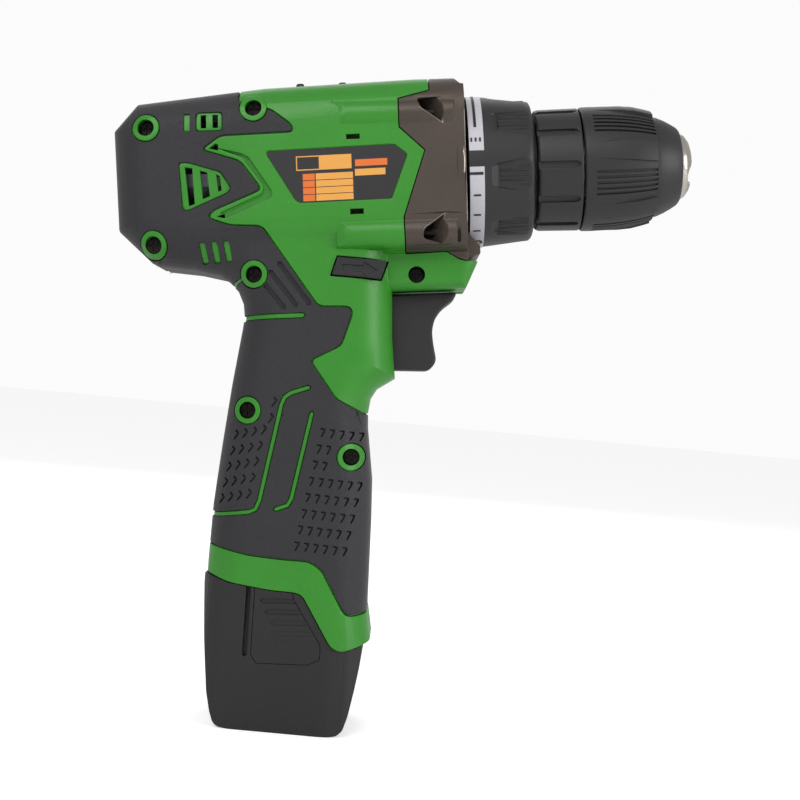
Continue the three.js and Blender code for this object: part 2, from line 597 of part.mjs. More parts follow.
const NUT_LOW = CHUCK_END - 24;
const NUT_HIGH = NUT_LOW + 5;
const NUT_INNER = jawRadiusAt(NUT_LOW) + JAW_RADIUS / Math.cos(JAW_ANGLE * RAD) + GAP;
const NUT_OUTER = CHUCK_RADIUS - 1.8;
const NOSE_STEP = CHUCK_END - 6;
const chuckCore = turned([
  [CHUCK_START + 0.4, THREAD_RADIUS + GAP], [CHUCK_START + 16.2, THREAD_RADIUS + GAP],
  [CHUCK_START + 16.2, 2.8],
  [CHUCK_START + 18.7, 2.8], [CHUCK_START + 18.7, CHUCK_BORE], [CHUCK_END, CHUCK_BORE], [CHUCK_END, 6.4],
  [CHUCK_END - 2.9, 10], [NOSE_STEP, 10.2], [NOSE_STEP, 12], [CHUCK_END - 16.4, 12],
  [CHUCK_START + 20, 12.5],
  [CHUCK_START + 0.4, 12.5],
], 24);
const jawHoles = jawAngles.map((degrees) =>
  slopingRod(JAW_RADIUS + GAP, CHUCK_START + 15, CHUCK_END + 3, 12).rotate([degrees - 90, 0, 0]));
add("chuck_body", largest(cut(chuckCore, ...jawHoles)), FINISH.steel);
add("chuck_rear_sleeve", ring(12.8, 18.1, CHUCK_START, CHUCK_START + 13, 28), FINISH.black);
const SLEEVE_INNER = NUT_OUTER + GAP;
add("chuck_front_sleeve", turned([
  [CHUCK_START + 13.6, SLEEVE_INNER], [CHUCK_END - 17.4, SLEEVE_INNER],
  [CHUCK_END - 11.7, 12.4], [NOSE_STEP + GAP, 12.4],
  [NOSE_STEP + GAP, 10.6], [CHUCK_END - 3.4, 10.6], [CHUCK_END - 3.4, 11], [CHUCK_END - 7, 13.2],
  [CHUCK_END - 10.6, 15], [CHUCK_END - 11.2, 16], [CHUCK_END - 16.8, 17.7],
  [CHUCK_START + 19, CHUCK_RADIUS],
  [CHUCK_START + 13.6, CHUCK_RADIUS - 0.1],
], 28), FINISH.black);
add("chuck_nut", ring(NUT_INNER, NUT_OUTER, NUT_LOW, NUT_HIGH, 24), FINISH.darkSteel);
add("chuck_screw", join(
  rod(4.2, [CHUCK_START + 19, 0, 0], [CHUCK_START + 21.6, 0, 0]),
  rod(2.4, [SPINDLE_END - 9, 0, 0], [CHUCK_START + 19.2, 0, 0]),
), FINISH.darkSteel);

const JAW_TIP = CHUCK_END - 5;
const JAW_TAIL = Math.max(CHUCK_START + 16.5, CHUCK_END - 29.9); // clear of both sleeves
const JAW_CLOSING = 4.5; // radial travel from open to shut
const JAW_EDGE = JAW_CLOSING + 0.4; // the gripping edge's distance from the chuck's axis when open
for (const [i, degrees] of jawAngles.entries()) {
  // Two planes that keep the jaw inside its third of the circle when shut.
  const wedge = [60, -60].map((turn) =>
    block([-FAR, -FAR, -FAR], [FAR, FAR, 0]).rotate([turn / 2, 0, 0]).translate([0, 0, JAW_EDGE]));
  const jaw = cut(slopingRod(JAW_RADIUS, JAW_TAIL, JAW_TIP + 2, 14), ...wedge,
    block([JAW_TIP, -FAR, -FAR], [FAR, FAR, FAR]));
  add(`chuck_jaw_${i + 1}`, largest(jaw).rotate([degrees - 90, 0, 0]), FINISH.darkSteel);
}

// ---------------------------------------------------------------- trigger, switch and direction selector

const SPRING_Z = -47;
const triggerPocket = rod(3.6, [-40, 0, SPRING_Z], [-18, 0, SPRING_Z]);
add("trigger", cut(rounded(TRIGGER, TRIGGER_HALF, 1.2), triggerPocket), FINISH.black);
const MODULE_FRONT = -27 - TRIGGER_TRAVEL - 0.6;
add("trigger_spring", coil(2.6, 0.5, MODULE_FRONT + GAP, -18.4, 4, [0, SPRING_Z]), FINISH.steel);
add("switch_module", join(
  block([MODULE_FRONT - 22, -8, -62], [MODULE_FRONT, 8, -38]),
  block([MODULE_FRONT - 6, -4, -39], [MODULE_FRONT - 3, 4, -34.5]),
), FINISH.black);
const KEY_REACH = HANDLE_HALF + 1; // the key stands 1 mm proud of each side
add("direction_selector", cut(
  prismY(DIRECTION, -KEY_REACH, KEY_REACH),
  block([-40, -HANDLE_HALF + 8, -FAR], [-23, HANDLE_HALF - 8, -30.4]),
), FINISH.black);

// ---------------------------------------------------------------- battery

const CELL_ROW = CELL_RADIUS * Math.cos(30 * RAD);
const CELLS = [[-CELL_RADIUS, -CELL_ROW], [CELL_RADIUS, -CELL_ROW], [0, CELL_ROW]];
const cellHalfX = 2 * CELL_RADIUS;
const cellHalfY = CELL_ROW + CELL_RADIUS;
const POST_TOP = CELL_FLOOR + CELL_LENGTH + 1.7;
const NUB_TOP = POST_TOP + 9.5;
const SLEEVE_LOW = 17;
const postX = cellHalfX + GAP + POST_WALL;
const postY = cellHalfY + GAP + POST_WALL;
const CORNER = 9;
const TUB_SIDE = [
  [-58.2, 0], [-60.8, 10], [-63, 25], [-64.7, 41], [-64.9, 60], [-16, 60], [-17, 27], [-17.6, 20],
  [-18.4, 13.8], [-19.6, 6.2], [-20.8, 0],
]; // stand axes
const LATCH = { low: 21, high: 38.6, rear: -54.6, front: -38, thick: 1.3, depth: 2.6 };

/** The latch plate's place on one side, in stand axes, grown by a margin. */
function latchBlock(side, margin, depth) {
  const [near, far] = [side * (BATTERY_HALF - depth), side * (BATTERY_HALF + (margin > 0 ? 5 : 0))];
  return block([LATCH.rear - margin, Math.min(near, far), LATCH.low - margin],
    [LATCH.front + margin, Math.max(near, far), LATCH.high + margin]);
}

const tubMiddle = (TUB_SIDE[0][0] + TUB_SIDE.at(-1)[0]) / 2 - 1.3;
const tubBlock = prismY(TUB_SIDE).intersect(roundedPost(tubMiddle, 25, BATTERY_HALF, 13, 0, 60, 1.2));
const tubHollow = join(
  roundedPost(PACK_CENTRE, cellHalfX + GAP, cellHalfY + GAP, CORNER, CELL_FLOOR - GAP, 60),
  roundedPost(PACK_CENTRE, postX + GAP, postY + GAP, CORNER, SLEEVE_LOW - GAP, 60),
);
const tub = cut(tubBlock, tubHollow, latchBlock(-1, GAP, LATCH.depth), latchBlock(1, GAP, LATCH.depth));
add("battery_tub", largest(fromStand(tub).intersect(belowJoint(0))), FINISH.black);
add("battery_post", fromStand(cut(
  join(
    roundedPost(PACK_CENTRE, postX, postY, CORNER, SLEEVE_LOW, POST_TOP),
    roundedPost(PACK_CENTRE, 12, 10, 3, POST_TOP - 1, NUB_TOP),
  ),
  roundedPost(PACK_CENTRE, cellHalfX + GAP, cellHalfY + GAP, CORNER, SLEEVE_LOW - 1, POST_TOP - 1.2),
)), FINISH.black);
CELLS.forEach(([x, y], i) => {
  const place = [PACK_CENTRE + x, y];
  const cell = rod(CELL_RADIUS - 0.15, [...place, CELL_FLOOR], [...place, CELL_FLOOR + CELL_LENGTH], 24);
  add(`battery_cell_${i + 1}`, fromStand(cell), FINISH.cell);
});
for (const [name, side] of [["battery_latch_right", -1], ["battery_latch_left", 1]]) {
  add(name, fromStand(latchBlock(side, 0, LATCH.thick)), FINISH.black);
}
add("terminal_block", fromStand(cut(
  roundedPost(PACK_CENTRE, 11, 9, 2, NUB_TOP + 0.6, NUB_TOP + 5),
  block([PACK_CENTRE - 8, -1, 0], [PACK_CENTRE + 8, 1, NUB_TOP + 3]),
)), FINISH.black);

// ---------------------------------------------------------------- the part's frame

// The origin is at the middle of the bottom of the whole drill's box.
const part = new THREE.Group();
part.add(drill);
part.updateMatrixWorld(true);
const box = new THREE.Box3().setFromObject(part, true);
part.position.set(-(box.min.x + box.max.x) / 2, -(box.min.y + box.max.y) / 2, -box.min.z);

export default part;
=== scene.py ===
"""Looks of the cordless drill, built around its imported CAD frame.

Shapes are drawn in millimetres in the tool's own axes, X forward along the chuck, Z up and Y to
the left, with the origin where the chuck's axis meets the front of the gear case. They are then
placed in the row frame, in metres, by the chuck's joint. Camera and lights are made last.
"""

import json
import logging
import math
from dataclasses import dataclass
from enum import Enum

import bmesh
import bpy
from mathutils import Matrix, Vector

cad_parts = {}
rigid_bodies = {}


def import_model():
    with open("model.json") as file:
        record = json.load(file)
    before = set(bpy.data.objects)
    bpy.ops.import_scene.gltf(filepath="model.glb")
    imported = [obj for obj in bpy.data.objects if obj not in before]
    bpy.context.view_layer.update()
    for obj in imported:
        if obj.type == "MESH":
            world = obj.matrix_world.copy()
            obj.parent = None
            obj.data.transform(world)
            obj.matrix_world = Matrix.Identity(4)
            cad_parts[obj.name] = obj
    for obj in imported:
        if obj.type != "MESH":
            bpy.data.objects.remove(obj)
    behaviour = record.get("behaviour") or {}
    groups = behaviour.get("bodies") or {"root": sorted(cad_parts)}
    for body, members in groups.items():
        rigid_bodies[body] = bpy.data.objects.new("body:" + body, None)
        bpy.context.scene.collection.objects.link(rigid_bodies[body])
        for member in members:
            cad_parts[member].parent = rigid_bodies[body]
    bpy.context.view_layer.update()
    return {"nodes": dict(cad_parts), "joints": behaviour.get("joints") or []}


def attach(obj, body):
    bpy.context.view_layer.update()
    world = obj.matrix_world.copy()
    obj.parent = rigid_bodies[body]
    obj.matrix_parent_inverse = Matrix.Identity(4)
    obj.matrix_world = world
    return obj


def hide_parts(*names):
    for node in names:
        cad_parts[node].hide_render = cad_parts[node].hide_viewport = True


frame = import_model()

Outline = tuple[tuple[float, float], ...]
LOG = logging.getLogger("drill")
MM = 0.001
# Millimetres past any surface of the drill, for cutters that go right through.
FAR = 200.0
# Points of a cut solid nearer than this are one point, in millimetres.
WELD = 0.01
# Faces of a cut solid that lie flatter than this to each other are one face.
FLAT_DEGREES = 0.08
# Edges that turn more than this are shaded sharp.
SHARP_DEGREES = 32.0

HANDLE: Outline = (
    (-90.0, 0.0), (-90.5, -26.2), (-80.1, -27.7), (-72.6, -29.6), (-69.8, -31.7), (-67.5, -34.4),
    (-66.2, -38.0), (-66.0, -42.0), (-67.0, -46.6), (-70.3, -61.5), (-73.5, -77.9), (-76.8, -95.8),
    (-78.8, -112.2), (-79.6, -121.0), (-79.8, -152.0), (-31.0, -152.0), (-33.0, -128.0),
    (-31.1, -103.2), (-30.5, -91.2), (-31.3, -75.5), (-31.1, -70.8), (-30.2, -66.8),
    (-28.2, -64.0), (-22.6, -60.9), (-23.0, -49.4), (-22.6, -36.0), (-22.6, 0.0),
)
BARREL: Outline = (
    (-102.0, 13.0), (-94.8, 20.8), (-58.0, 24.4), (-15.0, 25.8), (20.0, 25.8), (20.0, -25.6),
    (-92.0, -25.6), (-101.5, -16.0),
)
NECK: Outline = ((-45.0, -8.0), (-45.0, -35.7), (-1.0, -35.4), (3.7, -25.6), (3.7, -8.0))
CASE_REGION: Outline = (
    (60.0, 60.0), (60.0, -27.5), (-1.2, -27.5), (-2.9, -26.9), (-6.3, -24.8), (-18.3, -25.0),
    (-18.5, -15.3), (-12.0, 3.6), (-19.2, 10.4), (-19.2, 18.7), (-10.3, 21.0), (-10.3, 60.0),
)
PACK_REGION: Outline = (
    (-76.9, -116.2), (-71.8, -118.1), (-60.4, -120.7), (-52.9, -121.7), (-50.9, -122.7),
    (-43.6, -137.4), (-41.6, -138.9), (-39.3, -139.2), (-34.1, -137.9), (-10.0, -132.0),
    (-10.0, -230.0), (-130.0, -230.0), (-130.0, -100.0),
)
GRIP_REGION: Outline = (
    (-64.9, 60.0), (-64.9, 18.9), (-55.8, 16.7), (-49.7, 11.9), (-49.5, 9.9), (-70.3, 9.4),
    (-75.6, 5.6), (-64.8, 2.1), (-59.3, -5.5), (-59.7, -6.6), (-73.0, -11.9), (-74.4, -13.9),
    (-68.2, -16.1), (-59.1, -16.6), (-43.8, -39.9), (-35.0, -40.2), (-34.0, -42.0), (-37.6, -51.3),
    (-46.6, -55.3), (-39.5, -66.6), (-20.0, -78.0), (-20.0, -128.2), (-37.6, -129.2),
    (-39.3, -128.3), (-45.2, -115.4), (-48.6, -112.9), (-57.2, -111.9), (-65.8, -110.5),
    (-76.1, -107.6), (-130.0, -93.0), (-130.0, 60.0),
)
TRIGGER: Outline = (
    (-27.0, -36.4), (-3.4, -36.0), (-4.4, -38.2), (-8.2, -40.8), (-10.3, -43.8), (-11.2, -47.4),
    (-10.9, -51.3), (-10.1, -56.4), (-12.4, -59.1), (-27.0, -58.4),
)
DIRECTION: Outline = ((-37.8, -25.9), (-23.8, -27.5), (-25.7, -32.6), (-39.7, -31.0))
CHEVRON: Outline = (
    (-71.2, 5.9), (-64.5, 4.3), (-62.3, 3.1), (-55.8, -7.0), (-56.1, -8.7), (-69.6, -14.4),
    (-71.0, -12.6), (-58.6, -7.4), (-58.2, -5.2), (-64.0, 2.9),
)
CHEVRON_ENDS: tuple[Outline, ...] = (
    ((-73.6, 5.8), (-71.7, 7.2), (-70.8, 7.0), (-70.8, 5.2)),
    ((-71.9, -13.6), (-69.6, -12.7), (-69.6, -14.2)),
)
LABEL: Outline = (
    (-57.1, 4.7), (-21.9, 5.6), (-20.5, 5.5), (-16.9, 2.6), (-21.8, -10.0), (-47.9, -10.5),
    (-49.3, -9.8), (-57.2, 3.5),
)
VENT_PANELS: tuple[Outline, ...] = (
    ((-76.9, 11.0), (-76.9, 16.2), (-69.6, 16.2), (-69.6, 11.0)),
    ((-82.2, 2.0), (-79.6, 2.0), (-70.5, -0.9), (-67.6, -5.6), (-68.6, -6.8), (-80.2, -11.6),
     (-81.4, -11.2)),
)
VENT_SLOTS: tuple[Outline, ...] = (
    ((-75.7, 11.7), (-75.7, 15.6), (-74.1, 15.6), (-74.1, 11.7)),
    ((-72.3, 11.7), (-72.3, 15.6), (-70.7, 15.6), (-70.7, 11.7)),
    ((-80.6, 0.8), (-78.4, 0.5), (-78.0, -9.8), (-79.7, -10.4)),
    ((-76.3, -0.3), (-74.2, -0.8), (-73.6, -7.7), (-75.7, -8.5)),
    ((-71.7, -1.5), (-70.6, -2.0), (-70.2, -6.1), (-71.2, -6.5)),
    ((-34.3, 7.3), (-34.3, 8.8), (-30.4, 8.8), (-30.4, 7.3)),
    ((-33.8, -14.1), (-33.8, -12.5), (-29.9, -12.5), (-29.9, -14.1)),
)
GREEN_SLOTS: tuple[Outline, ...] = (
    ((-80.5, 10.9), (-80.5, 16.0), (-78.7, 16.0), (-78.7, 10.9)),
    ((-77.5, -20.8), (-76.9, -26.6), (-75.1, -26.4), (-75.7, -20.7)),
    ((-74.0, -20.6), (-73.4, -26.5), (-71.6, -26.3), (-72.2, -20.5)),
    ((-70.5, -20.5), (-69.9, -26.3), (-68.1, -26.1), (-68.7, -20.4)),
)
GREEN_LINES: tuple[tuple[Outline, float], ...] = (
    (((-90.0, -42.9), (-63.6, -42.4), (-48.2, -42.3)), 1.3),
    (((-90.0, -99.0), (-75.0, -98.7), (-65.4, -98.1), (-63.6, -97.4), (-62.4, -95.0),
      (-55.2, -67.6), (-54.2, -65.6), (-52.4, -64.4), (-47.2, -63.0)), 1.15),
    (((-46.6, -70.4), (-53.2, -94.7), (-54.4, -96.6), (-57.9, -97.6)), 1.15),
    (((-66.0, -31.4), (-69.5, -33.0), (-78.0, -36.0)), 0.9),
)
RIB_RECESSES: tuple[tuple[Outline, float], ...] = (
    (((-59.3, -32.6), (-53.6, -40.0)), 1.5),
    (((-57.2, -29.6), (-50.2, -39.3)), 1.5),
    (((-54.6, -27.2), (-46.4, -39.0)), 1.5),
)
REAR_HOOK: Outline = (
    (-0.3, 1.25), (0.2, 1.4), (0.95, 0.45), (0.8, -0.05), (-0.75, -1.55), (-0.95, -1.25),
    (0.2, 0.2),
)
FRONT_HOOK: Outline = (
    (-0.75, 0.4), (-0.55, 0.95), (0.85, 0.65), (0.75, -0.2), (-0.35, -1.9), (-0.7, -1.6),
    (0.1, -0.25), (0.2, 0.2),
)
ARROW: Outline = (
    (-4.4, 1.1), (1.6, 0.55), (1.7, 1.6), (5.4, -0.85), (1.3, -2.1), (1.4, -1.2), (-4.6, -0.6),
)
HOUSING_SCREWS: Outline = (
    (-91.4, 12.4), (-90.5, -20.9), (-60.6, 17.2), (-62.0, -30.1), (-15.3, -31.2), (-65.1, -69.0),
    (-35.8, -83.4),
)
NECK_SCREW = 4
CASE_SCREWS: Outline = ((19.3, 14.5), (19.3, -19.5), (-19.3, 14.5), (-19.3, -19.5))
LATCH: Outline = (
    (-64.3, -100.0), (-64.5, -121.0), (-66.3, -139.0), (-65.0, -141.6), (-50.0, -142.6),
    (-46.6, -141.2), (-46.4, -137.0), (-53.6, -123.4), (-54.8, -100.0),
)
CASE_EAR: Outline = (
    (-7, -18.6), (-0.3, -18.8), (3.5, -23.2), (3.5, -25.5), (-1.1, -27.2), (-2.9, -26.7),
    (-7, -24.6),
)
UPPER_SCOOP: Outline = (
    (-13.9, 18.5), (-12.8, 15.6), (-6.3, 11.1), (-3.2, 12.6), (-3.2, 17.9), (-6.5, 18.8),
)
LOWER_SCOOP: Outline = (
    (-13.2, -21.6), (-12.9, -18.9), (-5.9, -14.0), (-3.0, -15.8), (-3.0, -21.2), (-6.0, -23.6),
)
# The scoops' inner edges that take the lighter edge paint as a painted highlight.
SCOOP_HIGHLIGHT_EDGES: tuple[Outline, ...] = (
    ((-12.8, 15.6), (-6.6, 11.3)),
    ((-12.9, -18.9), (-6.2, -14.2)),
)
TUB: Outline = (
    (-57.0, 0.4), (-58.2, 1.6), (-59.4, 4.6), (-60.8, 10.0), (-63.0, 25.0), (-64.7, 41.0),
    (-64.9, 60.0), (-16.0, 60.0), (-17.0, 27.0), (-17.6, 20.0), (-18.4, 13.8), (-19.6, 6.2),
    (-20.8, 2.0), (-22.4, 0.4), (-25.0, 0.0), (-54.0, 0.0),
)


class Operation(Enum):
    """What a boolean does with two solids."""

    JOIN = "UNION"
    CUT = "DIFFERENCE"
    COMMON = "INTERSECT"


class Grain(Enum):
    """How a surface's fine relief was made."""

    SPARK = "spark"
    LEATHER = "leather"
    CAST = "cast"
    BRUSHED = "brushed"
    SMOOTH = "smooth"


# ---------------------------------------------------------------- placing


@dataclass(frozen=True)
class ToolFrame:
    """The tool's axes inside the row frame."""

    origin: Vector
    forward: Vector

    @classmethod
    def from_record(cls, joints: list[dict]) -> "ToolFrame":
        """Reads the chuck's joint.

        Args:
            joints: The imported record's joints.

        Returns:
            The frame with its origin on the chuck's axis.
        """
        spin = next(joint for joint in joints if joint["name"] == "chuck_spin")
        return cls(Vector(spin["pos_m"]), Vector(spin["axis"]).normalized())

    def matrix(self) -> Matrix:
        """Returns the matrix from tool millimetres to row metres."""
        side = Vector((0.0, 1.0, 0.0))
        up = self.forward.cross(side)
        turn = Matrix((self.forward, side, up)).transposed().to_4x4()
        return Matrix.Translation(self.origin) @ turn @ Matrix.Scale(MM, 4)

    def stand_matrix(self) -> Matrix:
        """Returns the matrix from upright millimetres, the base at z = 0, to tool millimetres."""
        upright = Matrix.Translation((self.origin.x, 0, 0)) @ Matrix.Scale(MM, 4)
        return self.matrix().inverted() @ upright


TOOL = ToolFrame.from_record(frame["joints"])


# ---------------------------------------------------------------- solids, in tool millimetres


def offset(points: Outline, distance: float) -> Outline:
    """Moves a clockwise or anticlockwise outline's sides outward.

    Args:
        points: The closed outline.
        distance: How far, in millimetres; negative shrinks it.

    Returns:
        The moved outline.
    """
    area = sum(a[0] * b[1] - b[0] * a[1] for a, b in zip(points, points[1:] + points[:1]))
    sign = 1 if area < 0 else -1
    shifted = []
    for before, here, after in zip(points[-1:] + points[:-1], points, points[1:] + points[:1]):
        p, c, n = Vector(before), Vector(here), Vector(after)
        first = Vector((-(c - p).y, (c - p).x)).normalized() * sign
        second = Vector((-(n - c).y, (n - c).x)).normalized() * sign
        middle = (first + second).normalized()
        reach = distance / max(0.5, middle.dot(second))
        shifted.append(tuple(c + middle * reach))
    return tuple(shifted)


def softened(points: Outline, reach: float, steps: int = 4) -> Outline:
    """Rounds each corner of a closed outline.

    Args:
        points: The outline.
        reach: How far from the corner the curve starts, in millimetres.
        steps: Pieces of each curve.

    Returns:
        The rounded outline.
    """
    made = []
    for before, here, after in zip(points[-1:] + points[:-1], points, points[1:] + points[:1]):
        p, c, n = Vector(before), Vector(here), Vector(after)
        a = c + (p - c).normalized() * min(reach, (p - c).length * 0.45)
        b = c + (n - c).normalized() * min(reach, (n - c).length * 0.45)
        for i in range(steps + 1):
            t = i / steps
            made.append(tuple(a * (1 - t) ** 2 + c * 2 * t * (1 - t) + b * t**2))
    return tuple(made)


def stroke(path: Outline, width: float) -> Outline:
    """Turns an open path into the outline of a band with round ends.

    Args:
        path: The band's middle line.
        width: Its width in millimetres.

    Returns:
        The band's outline.
    """
    points = [Vector(p) for p in path]
    left, right = [], []
    for i, here in enumerate(points):
        before = points[max(i - 1, 0)]
        after = points[min(i + 1, len(points) - 1)]
        along = (after - before).normalized()
        side = Vector((-along.y, along.x)) * width / 2
        left.append(here + side)
        right.append(here - side)
    start, end = points[0] - points[1], points[-1] - points[-2]
    tip_end = points[-1] + end.normalized() * width / 2
    tip_start = points[0] + start.normalized() * width / 2
    return tuple(tuple(p) for p in [*left, tip_end, *reversed(right), tip_start])


def to_mesh(bm: bmesh.types.BMesh) -> bpy.types.Mesh:
    """Closes a bmesh into a mesh whose faces point outward.

    Args:
        bm: The shape, which is freed.

    Returns:
        The mesh.
    """
    bmesh.ops.remove_doubles(bm, verts=bm.verts, dist=1e-4)
    open_edges = [edge for edge in bm.edges if edge.is_boundary]
    if open_edges:
        bmesh.ops.holes_fill(bm, edges=open_edges, sides=0)
    bmesh.ops.recalc_face_normals(bm, faces=bm.faces)
    mesh = bpy.data.meshes.new("solid")
    bm.to_mesh(mesh)
    bm.free()
    return mesh


def slab(bm: bmesh.types.BMesh, points: Outline, low: float, high: float) -> None:
    """Adds an outline in XZ, extruded along Y, to a bmesh.

    Args:
        bm: Where it goes.
        points: The closed outline.
        low: Lowest Y.
        high: Highest Y.
    """
    face = bm.faces.new([bm.verts.new((x, low, z)) for x, z in points])
    grown = bmesh.ops.extrude_face_region(bm, geom=[face], use_keep_orig=True)["geom"]
    far_side = [part for part in grown if isinstance(part, bmesh.types.BMVert)]
    bmesh.ops.translate(bm, verts=far_side, vec=(0, high - low, 0))


def prisms(outlines: list[Outline], low: float = -FAR, high: float = FAR) -> bpy.types.Mesh:
    """Returns several separate outlines as one mesh of solids between two Y values."""
    bm = bmesh.new()
    for points in outlines:
        slab(bm, points, low, high)
    return to_mesh(bm)


def prism(points: Outline, low: float = -FAR, high: float = FAR) -> bpy.types.Mesh:
    """Returns an outline in XZ as a solid between two Y values."""
    return prisms([points], low, high)


def flanks(reach: float) -> tuple[tuple[float, float], tuple[float, float]]:
    """Returns the spans of Y beyond a distance from the middle, the right side's first."""
    return (-FAR, -reach), (reach, FAR)


def placed(points: Outline, x: float, z: float) -> Outline:
    """Returns an outline that was drawn about the origin, moved to a place in XZ."""
    return tuple((x + dx, z + dz) for dx, dz in points)


def pillow(
    points: Outline, half: float, edge: float, inset: float = 0.0, steps: int = 7,
) -> bpy.types.Mesh:
    """Returns an outline in XZ as a solid about y = 0 whose long edges are rounded.

    Args:
        points: The outline at its widest.
        half: Half its width along Y.
        edge: The rounding's radius.
        inset: How far the whole surface is moved in.
        steps: Pieces of the rounding.

    Returns:
        The solid.
    """
    bm = bmesh.new()
    radius = edge - inset
    flat = half - edge
    slab(bm, offset(points, -inset), -flat, flat)
    bmesh.ops.recalc_face_normals(bm, faces=bm.faces)
    caps = sorted(bm.faces, key=lambda face: face.calc_center_median().y)
    for cap in (caps[0], caps[-1]):
        for i in range(steps):
            a, b = (math.radians(90 * k / steps) for k in (i, i + 1))
            bmesh.ops.inset_region(
                bm, faces=[cap], thickness=radius * (math.cos(a) - math.cos(b)),
                depth=radius * (math.sin(b) - math.sin(a)), use_even_offset=True, use_boundary=True,
            )
    return to_mesh(bm)


def turned(profile: Outline, steps: int = 96, sweep: float = 360.0) -> bpy.types.Mesh:
    """Returns a closed profile of (x, radius) spun about the X axis.

    Args:
        profile: The section above the axis.
        steps: Pieces of the turn.
        sweep: Degrees turned, centred on the Z axis when less than a full turn.

    Returns:
        The solid.
    """
    bm = bmesh.new()
    face = bm.faces.new([bm.verts.new((x, 0, radius)) for x, radius in profile])
    whole = sweep >= 360
    geometry = [*bm.verts, *bm.edges] if whole else [*bm.verts, *bm.edges, face]
    if whole:
        bmesh.ops.delete(bm, geom=[face], context="FACES_ONLY")
    bmesh.ops.spin(
        bm, geom=geometry, cent=(0, 0, 0), axis=(1, 0, 0), dvec=(0, 0, 0),
        angle=math.radians(sweep), steps=steps, use_merge=whole,
    )
    if not whole:
        turn = Matrix.Rotation(-math.radians(sweep / 2), 3, "X")
        bmesh.ops.rotate(bm, verts=bm.verts, cent=(0, 0, 0), matrix=turn)
    return to_mesh(bm)


def drum(start: tuple, end: tuple, radius: float, sides: int = 32) -> bpy.types.Mesh:
    """Returns a round bar between two points.

    Args:
        start: Its first end.
        end: Its other end.
        radius: Its radius.
        sides: Its sides.

    Returns:
        The solid.
    """
    bm = bmesh.new()
    along = Vector(end) - Vector(start)
    turn = along.to_track_quat("Z", "Y").to_matrix().to_4x4()
    place = Matrix.Translation((Vector(start) + Vector(end)) / 2) @ turn
    bmesh.ops.create_cone(
        bm, cap_ends=True, segments=sides, radius1=radius, radius2=radius, depth=along.length,
        matrix=place,
    )
    return to_mesh(bm)


def bevel(
    bm: bmesh.types.BMesh, edges: list, width: float, steps: int, rim: int = -1, **how: bool,
) -> None:
    """Rounds edges of a bmesh.

    Args:
        bm: The shape.
        edges: The edges.
        width: The rounding's width in millimetres.
        steps: Pieces of the rounding.
        rim: The material index of the new faces, or -1 for their neighbours'.
        how: Other settings of the operator.
    """
    bmesh.ops.bevel(
        bm, geom=edges, offset=width, affect="EDGES", segments=steps, profile=0.5, material=rim,
        **how,
    )


def block(low: tuple, high: tuple, edge: float = 0.0) -> bpy.types.Mesh:
    """Returns a box from its lowest to its highest corner, with its edges rounded.

    Args:
        low: Lowest corner.
        high: Highest corner.
        edge: The rounding's radius, or 0.

    Returns:
        The solid.
    """
    bm = bmesh.new()
    size = Vector(high) - Vector(low)
    place = Matrix.Translation((Vector(low) + Vector(high)) / 2) @ Matrix.Diagonal((*size, 1))
    bmesh.ops.create_cube(bm, size=1, matrix=place)
    if edge:
        bevel(bm, bm.edges[:], edge, 3)
    return to_mesh(bm)


def post(
    x: float, half_x: float, half_y: float, corner: float, low: float, high: float,
) -> bpy.types.Mesh:
    """Returns an upright post with rounded corners in plan.

    Args:
        x: Its middle.
        half_x: Half its length.
        half_y: Half its width.
        corner: The corners' radius.
        low: Lowest Z.
        high: Highest Z.

    Returns:
        The solid.
    """
    bm = bmesh.new()
    size = Matrix.Diagonal((2 * half_x, 2 * half_y, high - low, 1))
    bmesh.ops.create_cube(bm, size=1, matrix=Matrix.Translation((x, 0, (low + high) / 2)) @ size)
    upright = [edge for edge in bm.edges if abs(edge.verts[0].co.z - edge.verts[1].co.z) > 1]
    bevel(bm, upright, corner, 12)
    return to_mesh(bm)


def combine(base: bpy.types.Mesh, operation: Operation, *tools: bpy.types.Mesh) -> bpy.types.Mesh:
    """Joins, cuts or intersects solids.

    Args:
        base: The solid worked on.
        operation: What is done with each tool in turn.
        tools: The other solids.

    Returns:
        A new solid.
    """
    holder = bpy.data.objects.new("work", base)
    scene = bpy.context.scene.collection.objects
    scene.link(holder)
    others = []
    for tool in tools:
        other = bpy.data.objects.new("tool", tool)
        scene.link(other)
        others.append(other)
        modifier = holder.modifiers.new("step", "BOOLEAN")
        modifier.operation, modifier.solver, modifier.object = operation.value, "MANIFOLD", other
    graph = bpy.context.evaluated_depsgraph_get()
    made = bpy.data.meshes.new_from_object(holder.evaluated_get(graph))
    for extra in (holder, *others):
        bpy.data.objects.remove(extra)
    if not made.polygons:
        LOG.warning("a boolean left nothing")
    return made


def moved(mesh: bpy.types.Mesh, matrix: Matrix) -> bpy.types.Mesh:
    """Returns a copy of a solid moved by a matrix."""
    made = mesh.copy()
    made.transform(matrix)
    if matrix.determinant() < 0:
        made.flip_normals()
    return made


def around(mesh: bpy.types.Mesh, degrees: float) -> bpy.types.Mesh:
    """Returns a copy of a solid made on the Z axis, turned to an angle seen from the right.

    Args:
        mesh: The solid.
        degrees: 0 faces the right side, -Y, and 90 the top.

    Returns:
        The turned copy.
    """
    return moved(mesh, Matrix.Rotation(math.radians(90 - degrees), 4, "X"))


def together(meshes: list[bpy.types.Mesh]) -> bpy.types.Mesh:
    """Returns separate solids as one mesh."""
    bm = bmesh.new()
    for mesh in meshes:
        bm.from_mesh(mesh)
    made = bpy.data.meshes.new("group")
    bm.to_mesh(made)
    bm.free()
    return made


